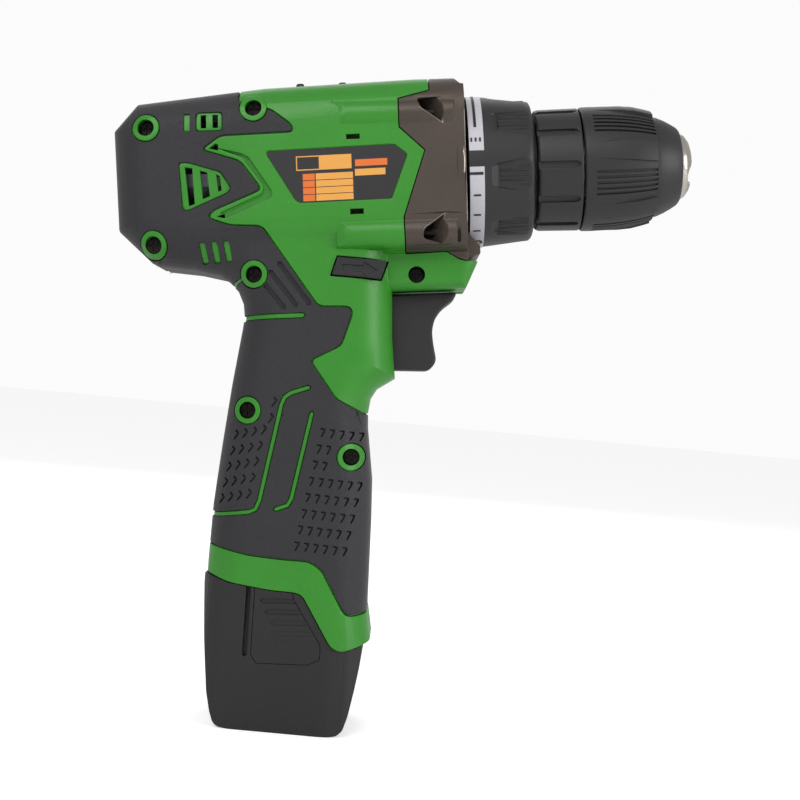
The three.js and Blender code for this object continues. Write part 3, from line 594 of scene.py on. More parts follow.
def eased(mesh: bpy.types.Mesh, width: float, sharp: float = 38.0, rim: int = -1) -> bpy.types.Mesh:
    """Returns a solid with its sharp edges rounded a little, as a mould or a file leaves them.

    Args:
        mesh: The solid.
        width: The rounding's width in millimetres.
        sharp: Degrees between faces past which an edge is rounded.
        rim: The material index of the rounded edges, or -1 for their neighbours'.

    Returns:
        The rounded solid.
    """
    bm = bmesh.new()
    bm.from_mesh(mesh)
    bmesh.ops.remove_doubles(bm, verts=bm.verts, dist=WELD)
    flat = math.radians(FLAT_DEGREES)
    bmesh.ops.dissolve_limit(bm, angle_limit=flat, verts=bm.verts, edges=bm.edges)
    if width:
        limit = math.radians(sharp)
        edges = [edge for edge in bm.edges if edge.is_manifold and edge.calc_face_angle(0) > limit]
        bevel(bm, edges, width, 2, rim, clamp_overlap=False, loop_slide=True)
    bmesh.ops.triangulate(bm, faces=[face for face in bm.faces if len(face.verts) > 4])
    made = bpy.data.meshes.new("eased")
    made.materials.append(None)
    if rim > 0:
        made.materials.append(None)
    bm.to_mesh(made)
    bm.free()
    return made


# ---------------------------------------------------------------- finishes


def linear(code: str) -> tuple[float, float, float, float]:
    """Turns an sRGB hex colour into linear RGBA."""
    parts = [int(code[i : i + 2], 16) / 255 for i in (1, 3, 5)]
    return (*(p / 12.92 if p <= 0.04045 else ((p + 0.055) / 1.055) ** 2.4 for p in parts), 1.0)


def node(
    tree: bpy.types.NodeTree, kind: str, inputs: dict | None = None, **settings: object,
) -> bpy.types.Node:
    """Adds a node with its settings and links.

    Args:
        tree: The material's node tree.
        kind: The node's type.
        inputs: Values or sockets for its inputs, by name or number.
        settings: The node's own properties.

    Returns:
        The new node.
    """
    made = tree.nodes.new(kind)
    for name, value in settings.items():
        setattr(made, name, value)
    for name, value in (inputs or {}).items():
        if isinstance(value, bpy.types.NodeSocket):
            tree.links.new(value, made.inputs[name])
        else:
            made.inputs[name].default_value = value
    return made


@dataclass(frozen=True)
class Finish:
    """A material and the way its surface was made.

    The grain's relief is drawn from a noise or cells of grain_mm. Real moulded and cast grains are
    0.1 to 0.2 mm, too fine to show at this distance, so they are drawn two to five times as coarse.
    """

    name: str
    colour: str
    second: str
    roughness: float
    grain: Grain
    grain_mm: float
    relief_mm: float
    spread: float = 0.08
    metallic: float = 0.0
    ior: float = 1.5
    patch_mm: float = 14.0
    coat: float = 0.0
    sheen: float = 0.0

    def build(self) -> bpy.types.Material:
        """Returns the material, made once and then shared."""
        if self.name in bpy.data.materials:
            return bpy.data.materials[self.name]
        material = bpy.data.materials.new(self.name)
        material.use_nodes = True
        tree = material.node_tree
        tree.nodes.clear()
        place = node(tree, "ShaderNodeTexCoord").outputs["Object"]
        patches = node(
            tree, "ShaderNodeTexNoise",
            {"Vector": place, "Scale": 1 / (self.patch_mm * MM), "Detail": 3.0},
        )
        grain = self.relief(tree, place)
        colour = node(
            tree, "ShaderNodeMix",
            {0: patches.outputs["Fac"], 6: linear(self.colour), 7: linear(self.second)},
            data_type="RGBA",
        )
        low, high = self.roughness - self.spread, self.roughness + self.spread
        rough = node(tree, "ShaderNodeMapRange", {"Value": grain, "To Min": low, "To Max": high})
        bump = node(
            tree, "ShaderNodeBump",
            {"Height": grain, "Distance": self.relief_mm * MM, "Strength": 0.9},
        )
        shader = node(
            tree, "ShaderNodeBsdfPrincipled",
            {
                "Base Color": colour.outputs[2], "Roughness": rough.outputs[0],
                "Normal": bump.outputs[0],
            },
        )
        shader.inputs["Metallic"].default_value = self.metallic
        if not self.metallic:
            shader.inputs["IOR"].default_value = self.ior
        shader.inputs["Coat Weight"].default_value = self.coat
        shader.inputs["Sheen Weight"].default_value = self.sheen
        node(tree, "ShaderNodeOutputMaterial", {"Surface": shader.outputs[0]})
        return material

    def relief(self, tree: bpy.types.NodeTree, place: bpy.types.NodeSocket) -> bpy.types.NodeSocket:
        """Adds the surface's fine relief.

        Args:
            tree: The material's node tree.
            place: The object coordinates.

        Returns:
            The height, from 0 to 1.
        """
        scale = 1 / (self.grain_mm * MM)
        if self.grain is Grain.LEATHER:
            cells = node(
                tree, "ShaderNodeTexVoronoi", {"Vector": place, "Scale": scale},
                feature="SMOOTH_F1",
            )
            return cells.outputs["Distance"]
        if self.grain is Grain.BRUSHED:
            # Turning lines go round the chuck's axis: the noise is fine along X and long across it.
            stretched = node(
                tree, "ShaderNodeMapping", {"Vector": place, "Scale": (1.0, 0.06, 0.06)},
            )
            place = stretched.outputs[0]
        detail = {Grain.CAST: 5.0, Grain.SPARK: 2.0, Grain.BRUSHED: 2.0}.get(self.grain, 1.0)
        noise = node(
            tree, "ShaderNodeTexNoise", {"Vector": place, "Scale": scale, "Detail": detail},
        )
        return noise.outputs["Fac"]


# ABS, injection moulded in a spark-eroded tool: saturated green with a fine even matt grain.
GREEN_ABS = Finish("green_abs", "#2F8F1C", "#298318", 0.42, Grain.SPARK, 0.5, 0.05, ior=1.53)
# Thermoplastic elastomer moulded over the shell: charcoal, dull, with a soft leathery skin.
GREY_TPE = Finish(
    "charcoal_elastomer", "#29272B", "#232125", 0.66, Grain.LEATHER, 0.9, 0.05, ior=1.5,
    sheen=0.1,
)
# Magnesium alloy, pressure die cast and lacquered in bronze grey: fine flecks, a satin shine.
BRONZE_ALLOY = Finish(
    "bronze_grey_casting", "#5A5049", "#4C433D", 0.45, Grain.CAST, 0.5, 0.05, 0.12,
    metallic=0.55,
)
# The same casting's edges in a lighter metal paint: a painted highlight along the scoops' inner
# edges, and on the front rim a machined bare chamfer with a painted highlight on it.
EDGE_HIGHLIGHT_AND_CHAMFER = Finish(
    "casting_edge_highlight_and_chamfer", "#9A948C", "#857F78", 0.34, Grain.CAST, 0.5, 0.02, metallic=0.9,
)
# Glass-filled nylon for collar and chuck: near black with a dry satin face.
BLACK_NYLON = Finish(
    "black_filled_nylon", "#242325", "#1E1D20", 0.47, Grain.SPARK, 0.45, 0.045, ior=1.53,
)
# ABS and polycarbonate of switches and battery: black, a little warm, matt.
BLACK_ABS = Finish("black_abs", "#1E1C1E", "#191719", 0.5, Grain.SPARK, 0.5, 0.06, ior=1.53)
# Printed dial band: cool light grey ink on nylon.
DIAL_INK = Finish("dial_band_print", "#C9C8CE", "#BDBCC3", 0.45, Grain.SMOOTH, 1.0, 0.01)
# The dial's ticks and numbers: a near black ink, flat and even.
DARK_INK = Finish("dark_print", "#1D1C22", "#24232A", 0.5, Grain.SMOOTH, 1.0, 0.01)
# Rating plate of printed polyester film: a dark ground, a little smoother than the shell.
PLATE_FILM = Finish("plate_film", "#232123", "#2A282B", 0.5, Grain.SPARK, 0.35, 0.03)
# The plate's screen-printed fields: warm, opaque and even.
ORANGE_INK = Finish("orange_print", "#E8742E", "#E07028", 0.5, Grain.SMOOTH, 1.0, 0.01)
AMBER_INK = Finish("amber_print", "#EDAA50", "#E6A248", 0.5, Grain.SMOOTH, 1.0, 0.01)
# Steel, turned and nickel plated, for the chuck's nose: bright, with fine turning lines.
NICKEL_STEEL = Finish(
    "nickel_plated_steel", "#CFC9BF", "#BDB7AD", 0.24, Grain.BRUSHED, 0.3, 0.01,
    metallic=1.0,
)
# Hardened tool steel, ground, for jaws, gears and springs: grey with a soft shine.
TOOL_STEEL = Finish(
    "ground_tool_steel", "#6E6C6A", "#5E5C5B", 0.34, Grain.BRUSHED, 0.3, 0.02, metallic=1.0,
)
# Phosphated steel screws: black and slightly oily.
BLACK_SCREW = Finish(
    "phosphated_steel", "#2A2724", "#1D1B1A", 0.38, Grain.CAST, 0.4, 0.02, metallic=0.8,
)
# Copper wire, wound and enamelled: a warm red-brown metal with fine lines.
COPPER = Finish(
    "enamelled_copper_wire", "#9A4E26", "#B4632F", 0.32, Grain.BRUSHED, 0.5, 0.05,
    metallic=1.0,
)
# Ferrite and carbon, pressed and sintered: dark grey, dry and a little rough.
FERRITE = Finish(
    "sintered_ferrite", "#33343A", "#2A2B30", 0.55, Grain.CAST, 0.3, 0.03, metallic=0.3,
)
# Steel sheet, deep drawn and zinc plated: a pale blue-grey metal.
ZINC_CAN = Finish(
    "zinc_plated_can", "#A9ABAE", "#97999C", 0.33, Grain.BRUSHED, 0.4, 0.02, metallic=1.0,
)
# Nylon without colour, injection moulded: ivory and waxy.
WHITE_NYLON = Finish("natural_nylon", "#DAD6C8", "#CFCBBD", 0.45, Grain.SPARK, 0.6, 0.03, ior=1.53)
# Shrink film round the cells: blue and glossy.
CELL_FILM = Finish(
    "cell_shrink_film", "#2F6E9C", "#2A638D", 0.32, Grain.SMOOTH, 2.0, 0.02, coat=0.2,
)


def numbered(name: str, count: int) -> tuple[str, ...]:
    """Returns the names of a CAD node's numbered copies."""
    return tuple(f"{name}_{i}" for i in range(1, count + 1))


def piece(
    name: str, mesh: bpy.types.Mesh, body: str, finishes: list[Finish],
    replaces: tuple[str, ...] = (),
) -> None:
    """Makes a finished piece of the drill that rides on a body.

    Args:
        name: The piece's name.
        mesh: Its shape in tool millimetres.
        body: The CAD body it moves with.
        finishes: Its materials, in the order of the faces' indices.
        replaces: CAD nodes that it stands for.
    """
    made = mesh.copy()
    made.name = name
    made.transform(TOOL.matrix())
    indices = [face.material_index for face in made.polygons]
    made.materials.clear()
    for finish in finishes:
        made.materials.append(finish.build())
    made.polygons.foreach_set("material_index", [min(i, len(finishes) - 1) for i in indices])
    made.shade_smooth()
    made.set_sharp_from_angle(angle=math.radians(SHARP_DEGREES))
    thing = bpy.data.objects.new(name, made)
    bpy.context.scene.collection.objects.link(thing)
    weighted = thing.modifiers.new("shading", "WEIGHTED_NORMAL")
    weighted.keep_sharp = True
    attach(thing, body)
    if replaces:
        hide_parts(*replaces)
    LOG.info("%s: %d faces on %s", name, len(made.polygons), body)


# ---------------------------------------------------------------- housing


@dataclass
class Housing:
    """The two half shells, their soft overmould, the plate and the screws."""

    barrel_half: float = 22.9
    barrel_edge: float = 11.0
    handle_half: float = 21.0
    handle_edge: float = 11.0
    neck_half: float = 15.0
    neck_edge: float = 3.5
    skin: float = 1.3
    wall: float = 2.6
    seam: float = 0.22
    ring: float = 3.85
    ring_rise: float = 0.3
    hole: float = 2.45
    screw_depth: float = 4.2
    mark_depth: float = 0.8
    collar: float = 22.9
    split: float = 0.12
    inlay_inset: float = 0.45
    pod_start: float = -38.0
    pod_radius: float = 4.6
    chevron_depth: float = 1.1
    label_depth: float = 0.45
    film_inset: float = 0.3

    def outer(self, inset: float = 0.0) -> bpy.types.Mesh:
        """Returns the drill's whole outer body.

        Args:
            inset: How far its surface is moved in.

        Returns:
            The solid.
        """
        barrel = pillow(BARREL, self.barrel_half, self.barrel_edge, inset)
        handle = pillow(HANDLE, self.handle_half, self.handle_edge, inset)
        neck = combine(
            pillow(NECK, self.neck_half, self.neck_edge, inset, 4), Operation.CUT,
            drum((-30, 0, 0), (30, 0, 0), self.collar, sides=96),
        )
        return combine(barrel, Operation.JOIN, handle, neck)

    def pods(self, end: float) -> list[bpy.types.Mesh]:
        """Returns the four screw fairings along the barrel's sides, their rear ends cut aslant.

        Args:
            end: Their front end's X.

        Returns:
            One solid each.
        """
        made = []
        start, radius = self.pod_start, self.pod_radius
        for y, z in CASE_SCREWS:
            bm = bmesh.new()
            bm.from_mesh(drum((start, y, z), (end, y, z), radius, sides=40))
            side = 1 if y > 0 else -1
            bmesh.ops.bisect_plane(
                bm, geom=[*bm.verts, *bm.edges, *bm.faces], dist=1e-5, clear_outer=True,
                plane_co=(start + 4.4, y + side * radius, z), plane_no=(-1.0, side * 2.4, 0),
            )
            made.append(to_mesh(bm))
        return made

    def rings(self, rise: float, radius: float, depth: float) -> list[bpy.types.Mesh]:
        """Returns round posts at the housing screws on the right side.

        Args:
            rise: How far they stand out of the surface.
            radius: Their radius.
            depth: How deep they start.

        Returns:
            One solid each.
        """
        made = []
        for x, z in HOUSING_SCREWS:
            top = self.barrel_half if z > -28 else self.handle_half
            if (x, z) == HOUSING_SCREWS[NECK_SCREW]:
                top = self.neck_half
            top += rise
            made.append(drum((x, -top, z), (x, -top + depth, z), radius, sides=40))
        return made

    def build(self) -> None:
        """Makes shells, overmould, plate and screws."""
        outer, core, hollow = self.outer(), self.outer(self.skin), self.outer(self.wall)
        flush = self.outer(self.inlay_inset)
        grip = softened(GRIP_REGION, 1.6)
        case_out = prism(offset(CASE_REGION, 0.12))
        pack_out = prism(offset(softened(PACK_REGION, 1.6), 0.1))
        lines = [prism(stroke(path, width)) for path, width in GREEN_LINES]
        vents = [softened(points, 0.9) for points in VENT_PANELS]
        slots = [softened(points, 0.4) for points in GREEN_SLOTS]
        panels = prisms(vents + slots)
        shape = self.outer(-self.ring_rise)
        rings = [
            combine(boss, Operation.COMMON, shape) for boss in self.rings(5.0, self.ring, 21.0)
        ]
        green = combine(outer, Operation.CUT, prism(offset(grip, self.seam)))
        inlays = combine(flush, Operation.COMMON, combine(panels, Operation.JOIN, *lines))
        # The slider's platform on the top, with its middle sunk a little.
        platform = combine(
            block((-57.6, -9.8, 10), (-27.6, 9.8, 25.1), 0.9), Operation.CUT,
            prism(((-51.0, 24.7), (-28.0, 24.9), (-28.0, 40.0), (-51.0, 40.0))),
        )
        # The screw under the direction key stands in the neck and has no ring.
        bosses = rings[:NECK_SCREW] + rings[NECK_SCREW + 1 :]
        green = combine(
            green, Operation.JOIN, core, inlays, *self.pods(0.0), platform, *bosses,
        )
        wells = [
            drum((x, -40, z), (x, -7.4, z), self.hole, sides=40) for x, z in HOUSING_SCREWS
        ]
        self.screws()
        recesses = [
            prism(softened(points, 0.8), *span)
            for points, depth in ((CHEVRON, self.chevron_depth), (LABEL, self.label_depth))
            for span in flanks(self.barrel_half - depth)
        ]
        holes = prisms([*VENT_SLOTS, *CHEVRON_ENDS])
        # Openings for the direction key, the speed slider and the trigger.
        openings = [
            prism(offset(DIRECTION, 0.35)),
            block((-49.9, -7.4, 5), (-28.6, 7.4, 40)),
            block((-33, -7.5, -59.9), (0, 7.5, -35.2)),
        ]
        green = combine(green, Operation.CUT, hollow, case_out, pack_out, *recesses, *openings)
        grip_solid = combine(outer, Operation.COMMON, prism(offset(grip, -self.seam)))
        grip_solid = combine(grip_solid, Operation.CUT, core, pack_out)
        cutters = [
            prisms([offset(points, 0.25) for points in vents]),
            prisms([offset(points, 0.05) for points in slots]),
            *[prism(stroke(path, width + 0.5)) for path, width in GREEN_LINES],
            *self.rings(5.0, self.ring + 0.35, 30.0), *self.marks(),
        ]
        for side, name, (low, high) in zip((-1, 1), ("right", "left"), flanks(self.split)):
            half = block((-FAR, low, -FAR), (FAR, high, FAR))
            shell = eased(combine(green, Operation.COMMON, half), 0.22)
            shell = combine(shell, Operation.CUT, holes, *wells)
            node_name = f"housing_{name}"
            piece(f"shell_{name}", shell, "housing", [GREEN_ABS], (node_name,))
            cover = eased(combine(grip_solid, Operation.COMMON, half), 0.3)
            cover = combine(cover, Operation.CUT, *cutters)
            node_name = f"overmould_{name}"
            piece(f"grip_{name}", cover, "housing", [GREY_TPE], (node_name,))
            self.plate(side, name)

    def marks(self) -> list[bpy.types.Mesh]:
        """Returns cutters, shallower than the skin, for the grip's hooks and slanting ribs."""
        outlines = [*(stroke(path, width) for path, width in RIB_RECESSES), *self.hooks()]
        below = self.outer(self.mark_depth)
        return [combine(prisms(outlines, *span), Operation.CUT, below) for span in flanks(8.0)]

    def hooks(self) -> list[Outline]:
        """Returns the outlines of the small hooked marks of the grip's texture."""
        hooks = []
        rows = [(-57.2, -66.8, 2), (-58.3, -71.4, 2)]
        rows += [(-68.6 - 1.2 * i, -75.9 - 4.55 * i, 4) for i in range(5)]
        rows += [(-43.6 - 1.2 * i, -75.6 - 4.6 * i, 5 if i < 3 else 6) for i in range(8)]
        for start_x, start_z, count in rows:
            for k in range(count):
                # Rows fall towards the front on the front panel and rise on the rear one.
                if count == 2:
                    fall = -0.5
                else:
                    fall = 0.42 if start_x > -58 else -0.42
                x, z = start_x + 2.72 * k, start_z - fall * k
                if any(math.hypot(x - sx, z - sz) < self.ring + 1.6 for sx, sz in HOUSING_SCREWS):
                    continue
                hooks.append(placed(REAR_HOOK if start_x < -56 else FRONT_HOOK, x, z))
        return hooks

    def screws(self) -> None:
        """Makes the cross-recessed screws at the bottom of the wells."""
        made = []
        heads = self.rings(-self.screw_depth, self.hole - 0.12, 1.8)
        for (x, z), head in zip(HOUSING_SCREWS, heads):
            face = min(vert.co.y for vert in head.vertices)
            shank = drum((x, face + 1.0, z), (x, 9.0, z), 1.35, sides=20)
            arms = [
                block((x - a, face - 1, z - b), (x + a, face + 0.9, z + b))
                for a, b in ((0.38, 1.5), (1.5, 0.38))
            ]
            screw = combine(combine(head, Operation.JOIN, shank), Operation.CUT, *arms)
            made.append(eased(screw, 0.14, 40))
        names = numbered("housing_screw", len(HOUSING_SCREWS))
        piece("housing_screw_set", together(made), "housing", [BLACK_SCREW], names)

    def plate(self, side: int, name: str) -> None:
        """Makes one side's rating plate with plain coloured fields.

        Args:
            side: -1 for the right side and 1 for the left.
            name: The side's name.
        """
        face = self.barrel_half - self.film_inset
        spans = sorted((side * (face - 0.4), side * face))
        film = prism(offset(softened(LABEL, 0.8), -0.15), *spans)
        piece(f"rating_plate_{name}", eased(film, 0), "housing", [PLATE_FILM])
        ink = sorted((side * (face - 0.05), side * (face + 0.03)))

        def box(x0: float, z0: float, x1: float, z1: float) -> Outline:
            """Returns a field that leans with the plate."""
            corners = ((x0, z0), (x1, z0), (x1, z1), (x0, z1))
            return tuple((x, z + 0.02 * (x + 40)) for x, z in corners)

        orange = [box(-47.0, -3.9 - 2.0 * i, -43.6, -2.1 - 2.0 * i) for i in range(4)]
        orange += [box(-32.0, -0.6, -22.8, 1.3)]
        amber = [box(-43.3, -3.9 - 2.0 * i, -32.7, -2.1 - 2.0 * i) for i in range(4)]
        amber += [box(-42.3, -1.1, -33.0, 3.0), box(-32.1, -3.3, -23.4, -1.4)]
        amber += [box(-48.8, -1.1, -42.3, -0.8), box(-48.8, 2.7, -42.3, 3.0)]
        amber += [box(-48.8, -0.8, -48.5, 2.7)]
        for tint, fields, finish in (("orange", orange, ORANGE_INK), ("amber", amber, AMBER_INK)):
            fields = prisms(fields, *ink)
            piece(f"plate_{tint}_{name}", fields, "housing", [finish])


@dataclass
class GearCase:
    """The die-cast case in front of the green shells."""

    front: float = -0.3
    flange: float = 23.2
    bore: float = 20.0

    def build(self, housing: Housing) -> None:
        """Makes the case.

        Args:
            housing: The shells whose outer body it continues.
        """
        region = prism(offset(CASE_REGION, -0.12))
        behind = block((-60, -60, -60), (self.front, 60, 60))
        outer = combine(housing.outer(), Operation.COMMON, region, behind)
        rim = turned((
            (-7.5, 19.0), (self.front, 19.0), (self.front, self.flange - 0.7), (-1.0, self.flange),
            (-2.6, self.flange + 0.25), (-7.5, self.flange - 2.5),
        ))
        ear = combine(
            prism(CASE_EAR, -13.5, 13.5), Operation.CUT,
            drum((-0.4, 0, 0), (30, 0, 0), housing.collar, sides=96),
        )
        pods = [combine(pod, Operation.COMMON, region) for pod in housing.pods(-3.4)]
        body = combine(outer, Operation.JOIN, rim, ear, *pods)
        cavity = turned(((-60, 0.0), (-2.0, 0.0), (-2.0, self.bore), (-60, self.bore)))
        through = drum((-9, 0, 0), (9, 0, 0), 9.0)
        body = combine(body, Operation.CUT, cavity, through, *self.pockets())
        brow = prism(((-2.7, 40), (-2.7, 25.2), (-1.3, 23.2), (5, 22.6), (5, 40)))
        body = eased(combine(body, Operation.CUT, brow), 0.28, 40, 1)
        # Bevel faces on the scoops' inner edges and the front rim take the lighter edge paint: a
        # painted highlight, and on the rim also a machined bare chamfer.
        for face in body.polygons:
            face.material_index = int(face.material_index == 1 and self.gets_bright_edge(face.center))
        finishes = [BRONZE_ALLOY, EDGE_HIGHLIGHT_AND_CHAMFER]
        piece("gear_case_casting", body, "housing", finishes, ("gear_case",))
        nose = turned(((-2.2, 6.8), (14.8, 6.8), (14.8, 11.2), (-2.2, 11.2)))
        piece("gear_case_nose", nose, "housing", [BRONZE_ALLOY])

    def gets_bright_edge(self, place: Vector) -> bool:
        """Tells whether an edge takes the lighter edge paint: a painted highlight on the scoops'
        inner edges, and on the collar's rim a machined bare chamfer with a painted highlight on it.

        Args:
            place: The edge's middle.

        Returns:
            True for a bright edge.
        """
        spot = Vector((place.x, place.z))
        for start, end in SCOOP_HIGHLIGHT_EDGES:
            a, b = Vector(start), Vector(end)
            share = max(0.0, min(1.0, (spot - a).dot(b - a) / (b - a).length_squared))
            if (spot - a.lerp(b, share)).length < 0.75 and abs(place.y) > 15:
                return True
        return place.x > -1.4 and -17.5 < place.z < 13.5

    def pockets(self) -> list[bpy.types.Mesh]:
        """Returns cutters for the scoops that bare the case screws."""
        made = []
        for y, z in CASE_SCREWS:
            side = 1 if y > 0 else -1
            bm = bmesh.new()
            scoop = UPPER_SCOOP if z > 0 else LOWER_SCOOP
            slab(bm, softened(scoop, 1.0), side * 14.5, side * 40)
            for vert in bm.verts:
                if abs(vert.co.y) < 20:
                    vert.co.y = side * (16.4 + 8.6 * max(0.0, vert.co.x + 12.5) / 7.5)
            made.append(to_mesh(bm))
        return made


# ---------------------------------------------------------------- torque collar


@dataclass
class TorqueCollar:
    """The ring that sets the slipping torque, with its printed dial."""

    start: float = 0.4
    end: float = 19.6
    radius: float = 22.4
    band_start: float = 0.7
    band_end: float = 4.9
    pads: int = 8
    first_pad: float = 34.0
    first_mark: float = -9.0
    step: float = 16.0
    steps: int = 17
    ticks_per_number: int = 4
    digit: float = 5.4
    print_depth: float = 0.25

    def build(self) -> None:
        """Makes the ring, its band and its marks."""
        body = turned((
            (self.start, 16.0), (16.4, 16.0), (16.4, 8.2), (17.6, 8.2), (17.6, 14.0), (19.2, 14.6),
            (self.end, 15.2), (self.end, 19.5), (19.3, 20.1), (18.6, 20.7), (17.4, 21.0),
            (self.band_end + 0.1, 22.15), (self.band_end, 22.2),
            (self.start + 0.2, self.radius - 0.1), (self.start, self.radius - 0.4),
        ), 160)
        pads, ribs = [], []
        for i in range(self.pads):
            angle = self.first_pad - i * 360 / self.pads
            pads.append(around(self.recess(), angle))
            for k in (-2, -1, 0, 1, 2):
                y, top = 1.35 * k, 20.75 - 0.09 * abs(k)
                bar = block((9.4, y - 0.28, 19.0), (17.9, y + 0.28, top), 0.12)
                ribs.append(around(bar, angle))
        body = combine(combine(body, Operation.CUT, together(pads)), Operation.JOIN, together(ribs))
        body = eased(body, 0.16, 30)
        self.part("torque_ring", body, BLACK_NYLON, ("torque_collar",))
        outer, inner = self.radius - 0.02, self.radius - 1.0
        profile = ((self.band_start, inner), (self.band_end, inner), (self.band_end, outer - 0.04),
                   (self.band_start, outer))
        long, short = turned(profile, 90, 203.0), turned(profile, 44, 110.0)
        bands = together([around(long, -105.5), around(short, 63.0)])
        self.part("dial_band", bands, DIAL_INK)
        ticks, digits = [], []
        for i in range(self.steps):
            angle = self.first_mark - self.step * i
            if i % self.ticks_per_number:
                low, high = self.band_start + 1.0, self.band_start + 3.1
                ticks.append(around(block((low, -0.27, 21), (high, 0.27, 22.46)), angle))
            else:
                digits.append(self.number(str(1 + i), angle))
        # The long arc and the three bars that stand before the first number.
        arc = turned(((2.2, 21.0), (3.0, 21.0), (3.0, 22.47), (2.2, 22.47)), 40, 52.0)
        ticks.append(around(arc, 53.0))
        for k in range(3):
            low, high = 1.1 + 1.25 * k, 1.65 + 1.25 * k
            ticks.append(around(block((low, -0.3, 21), (high, 0.95, 22.46)), 15.5))
        self.part("dial_ticks", together(ticks), DARK_INK)
        self.part("dial_numbers", together(digits), DARK_INK)

    def part(
        self, name: str, mesh: bpy.types.Mesh, finish: Finish, replaces: tuple[str, ...] = (),
    ) -> None:
        """Makes a piece that turns with the collar.

        Args:
            name: The piece's name.
            mesh: Its shape.
            finish: Its material.
            replaces: CAD nodes that it stands for.
        """
        piece(name, mesh, "torque_collar", [finish], replaces)

    def recess(self) -> bpy.types.Mesh:
        """Returns the cutter for one finger recess, made on the Z axis."""
        bm = bmesh.new()
        corners = ((6.2, 2.3, 22.6), (8.8, 3.2, 20.6), (30.0, 7.6, 20.3))
        rows = []
        for x, half, z in corners:
            wide = half + 1.5
            section = ((x, -half, z), (x, half, z), (x, wide, 26), (x, -wide, 26))
            rows.append([bm.verts.new(place) for place in section])
        for near, far in zip(rows, rows[1:]):
            bmesh.ops.bridge_loops(bm, edges=[
                bm.edges.get(pair) or bm.edges.new(pair)
                for row in (near, far) for pair in zip(row, row[1:] + row[:1])
            ])
        return to_mesh(bm)

    def number(self, text: str, angle: float) -> bpy.types.Mesh:
        """Returns a generic dial number wrapped on the band.

        Args:
            text: The number.
            angle: Where it stands, in degrees above the right side.

        Returns:
            The solid digits.
        """
        curve = bpy.data.curves.new("number", "FONT")
        curve.body, curve.size = text, self.digit
        curve.align_x, curve.align_y = "CENTER", "CENTER"
        curve.extrude, curve.offset = self.print_depth, 0.13
        curve.resolution_u = 3
        thing = bpy.data.objects.new("number", curve)
        bpy.context.scene.collection.objects.link(thing)
        graph = bpy.context.evaluated_depsgraph_get()
        mesh = bpy.data.meshes.new_from_object(thing.evaluated_get(graph))
        bpy.data.objects.remove(thing)
        middle = (self.band_start + self.band_end) / 2
        for vert in mesh.vertices:
            across, along, height = vert.co
            turn = math.radians(angle) + across / self.radius
            reach = self.radius + 0.06 + height - self.print_depth
            vert.co = (middle - along, -reach * math.cos(turn), reach * math.sin(turn))
        return mesh


# ---------------------------------------------------------------- chuck


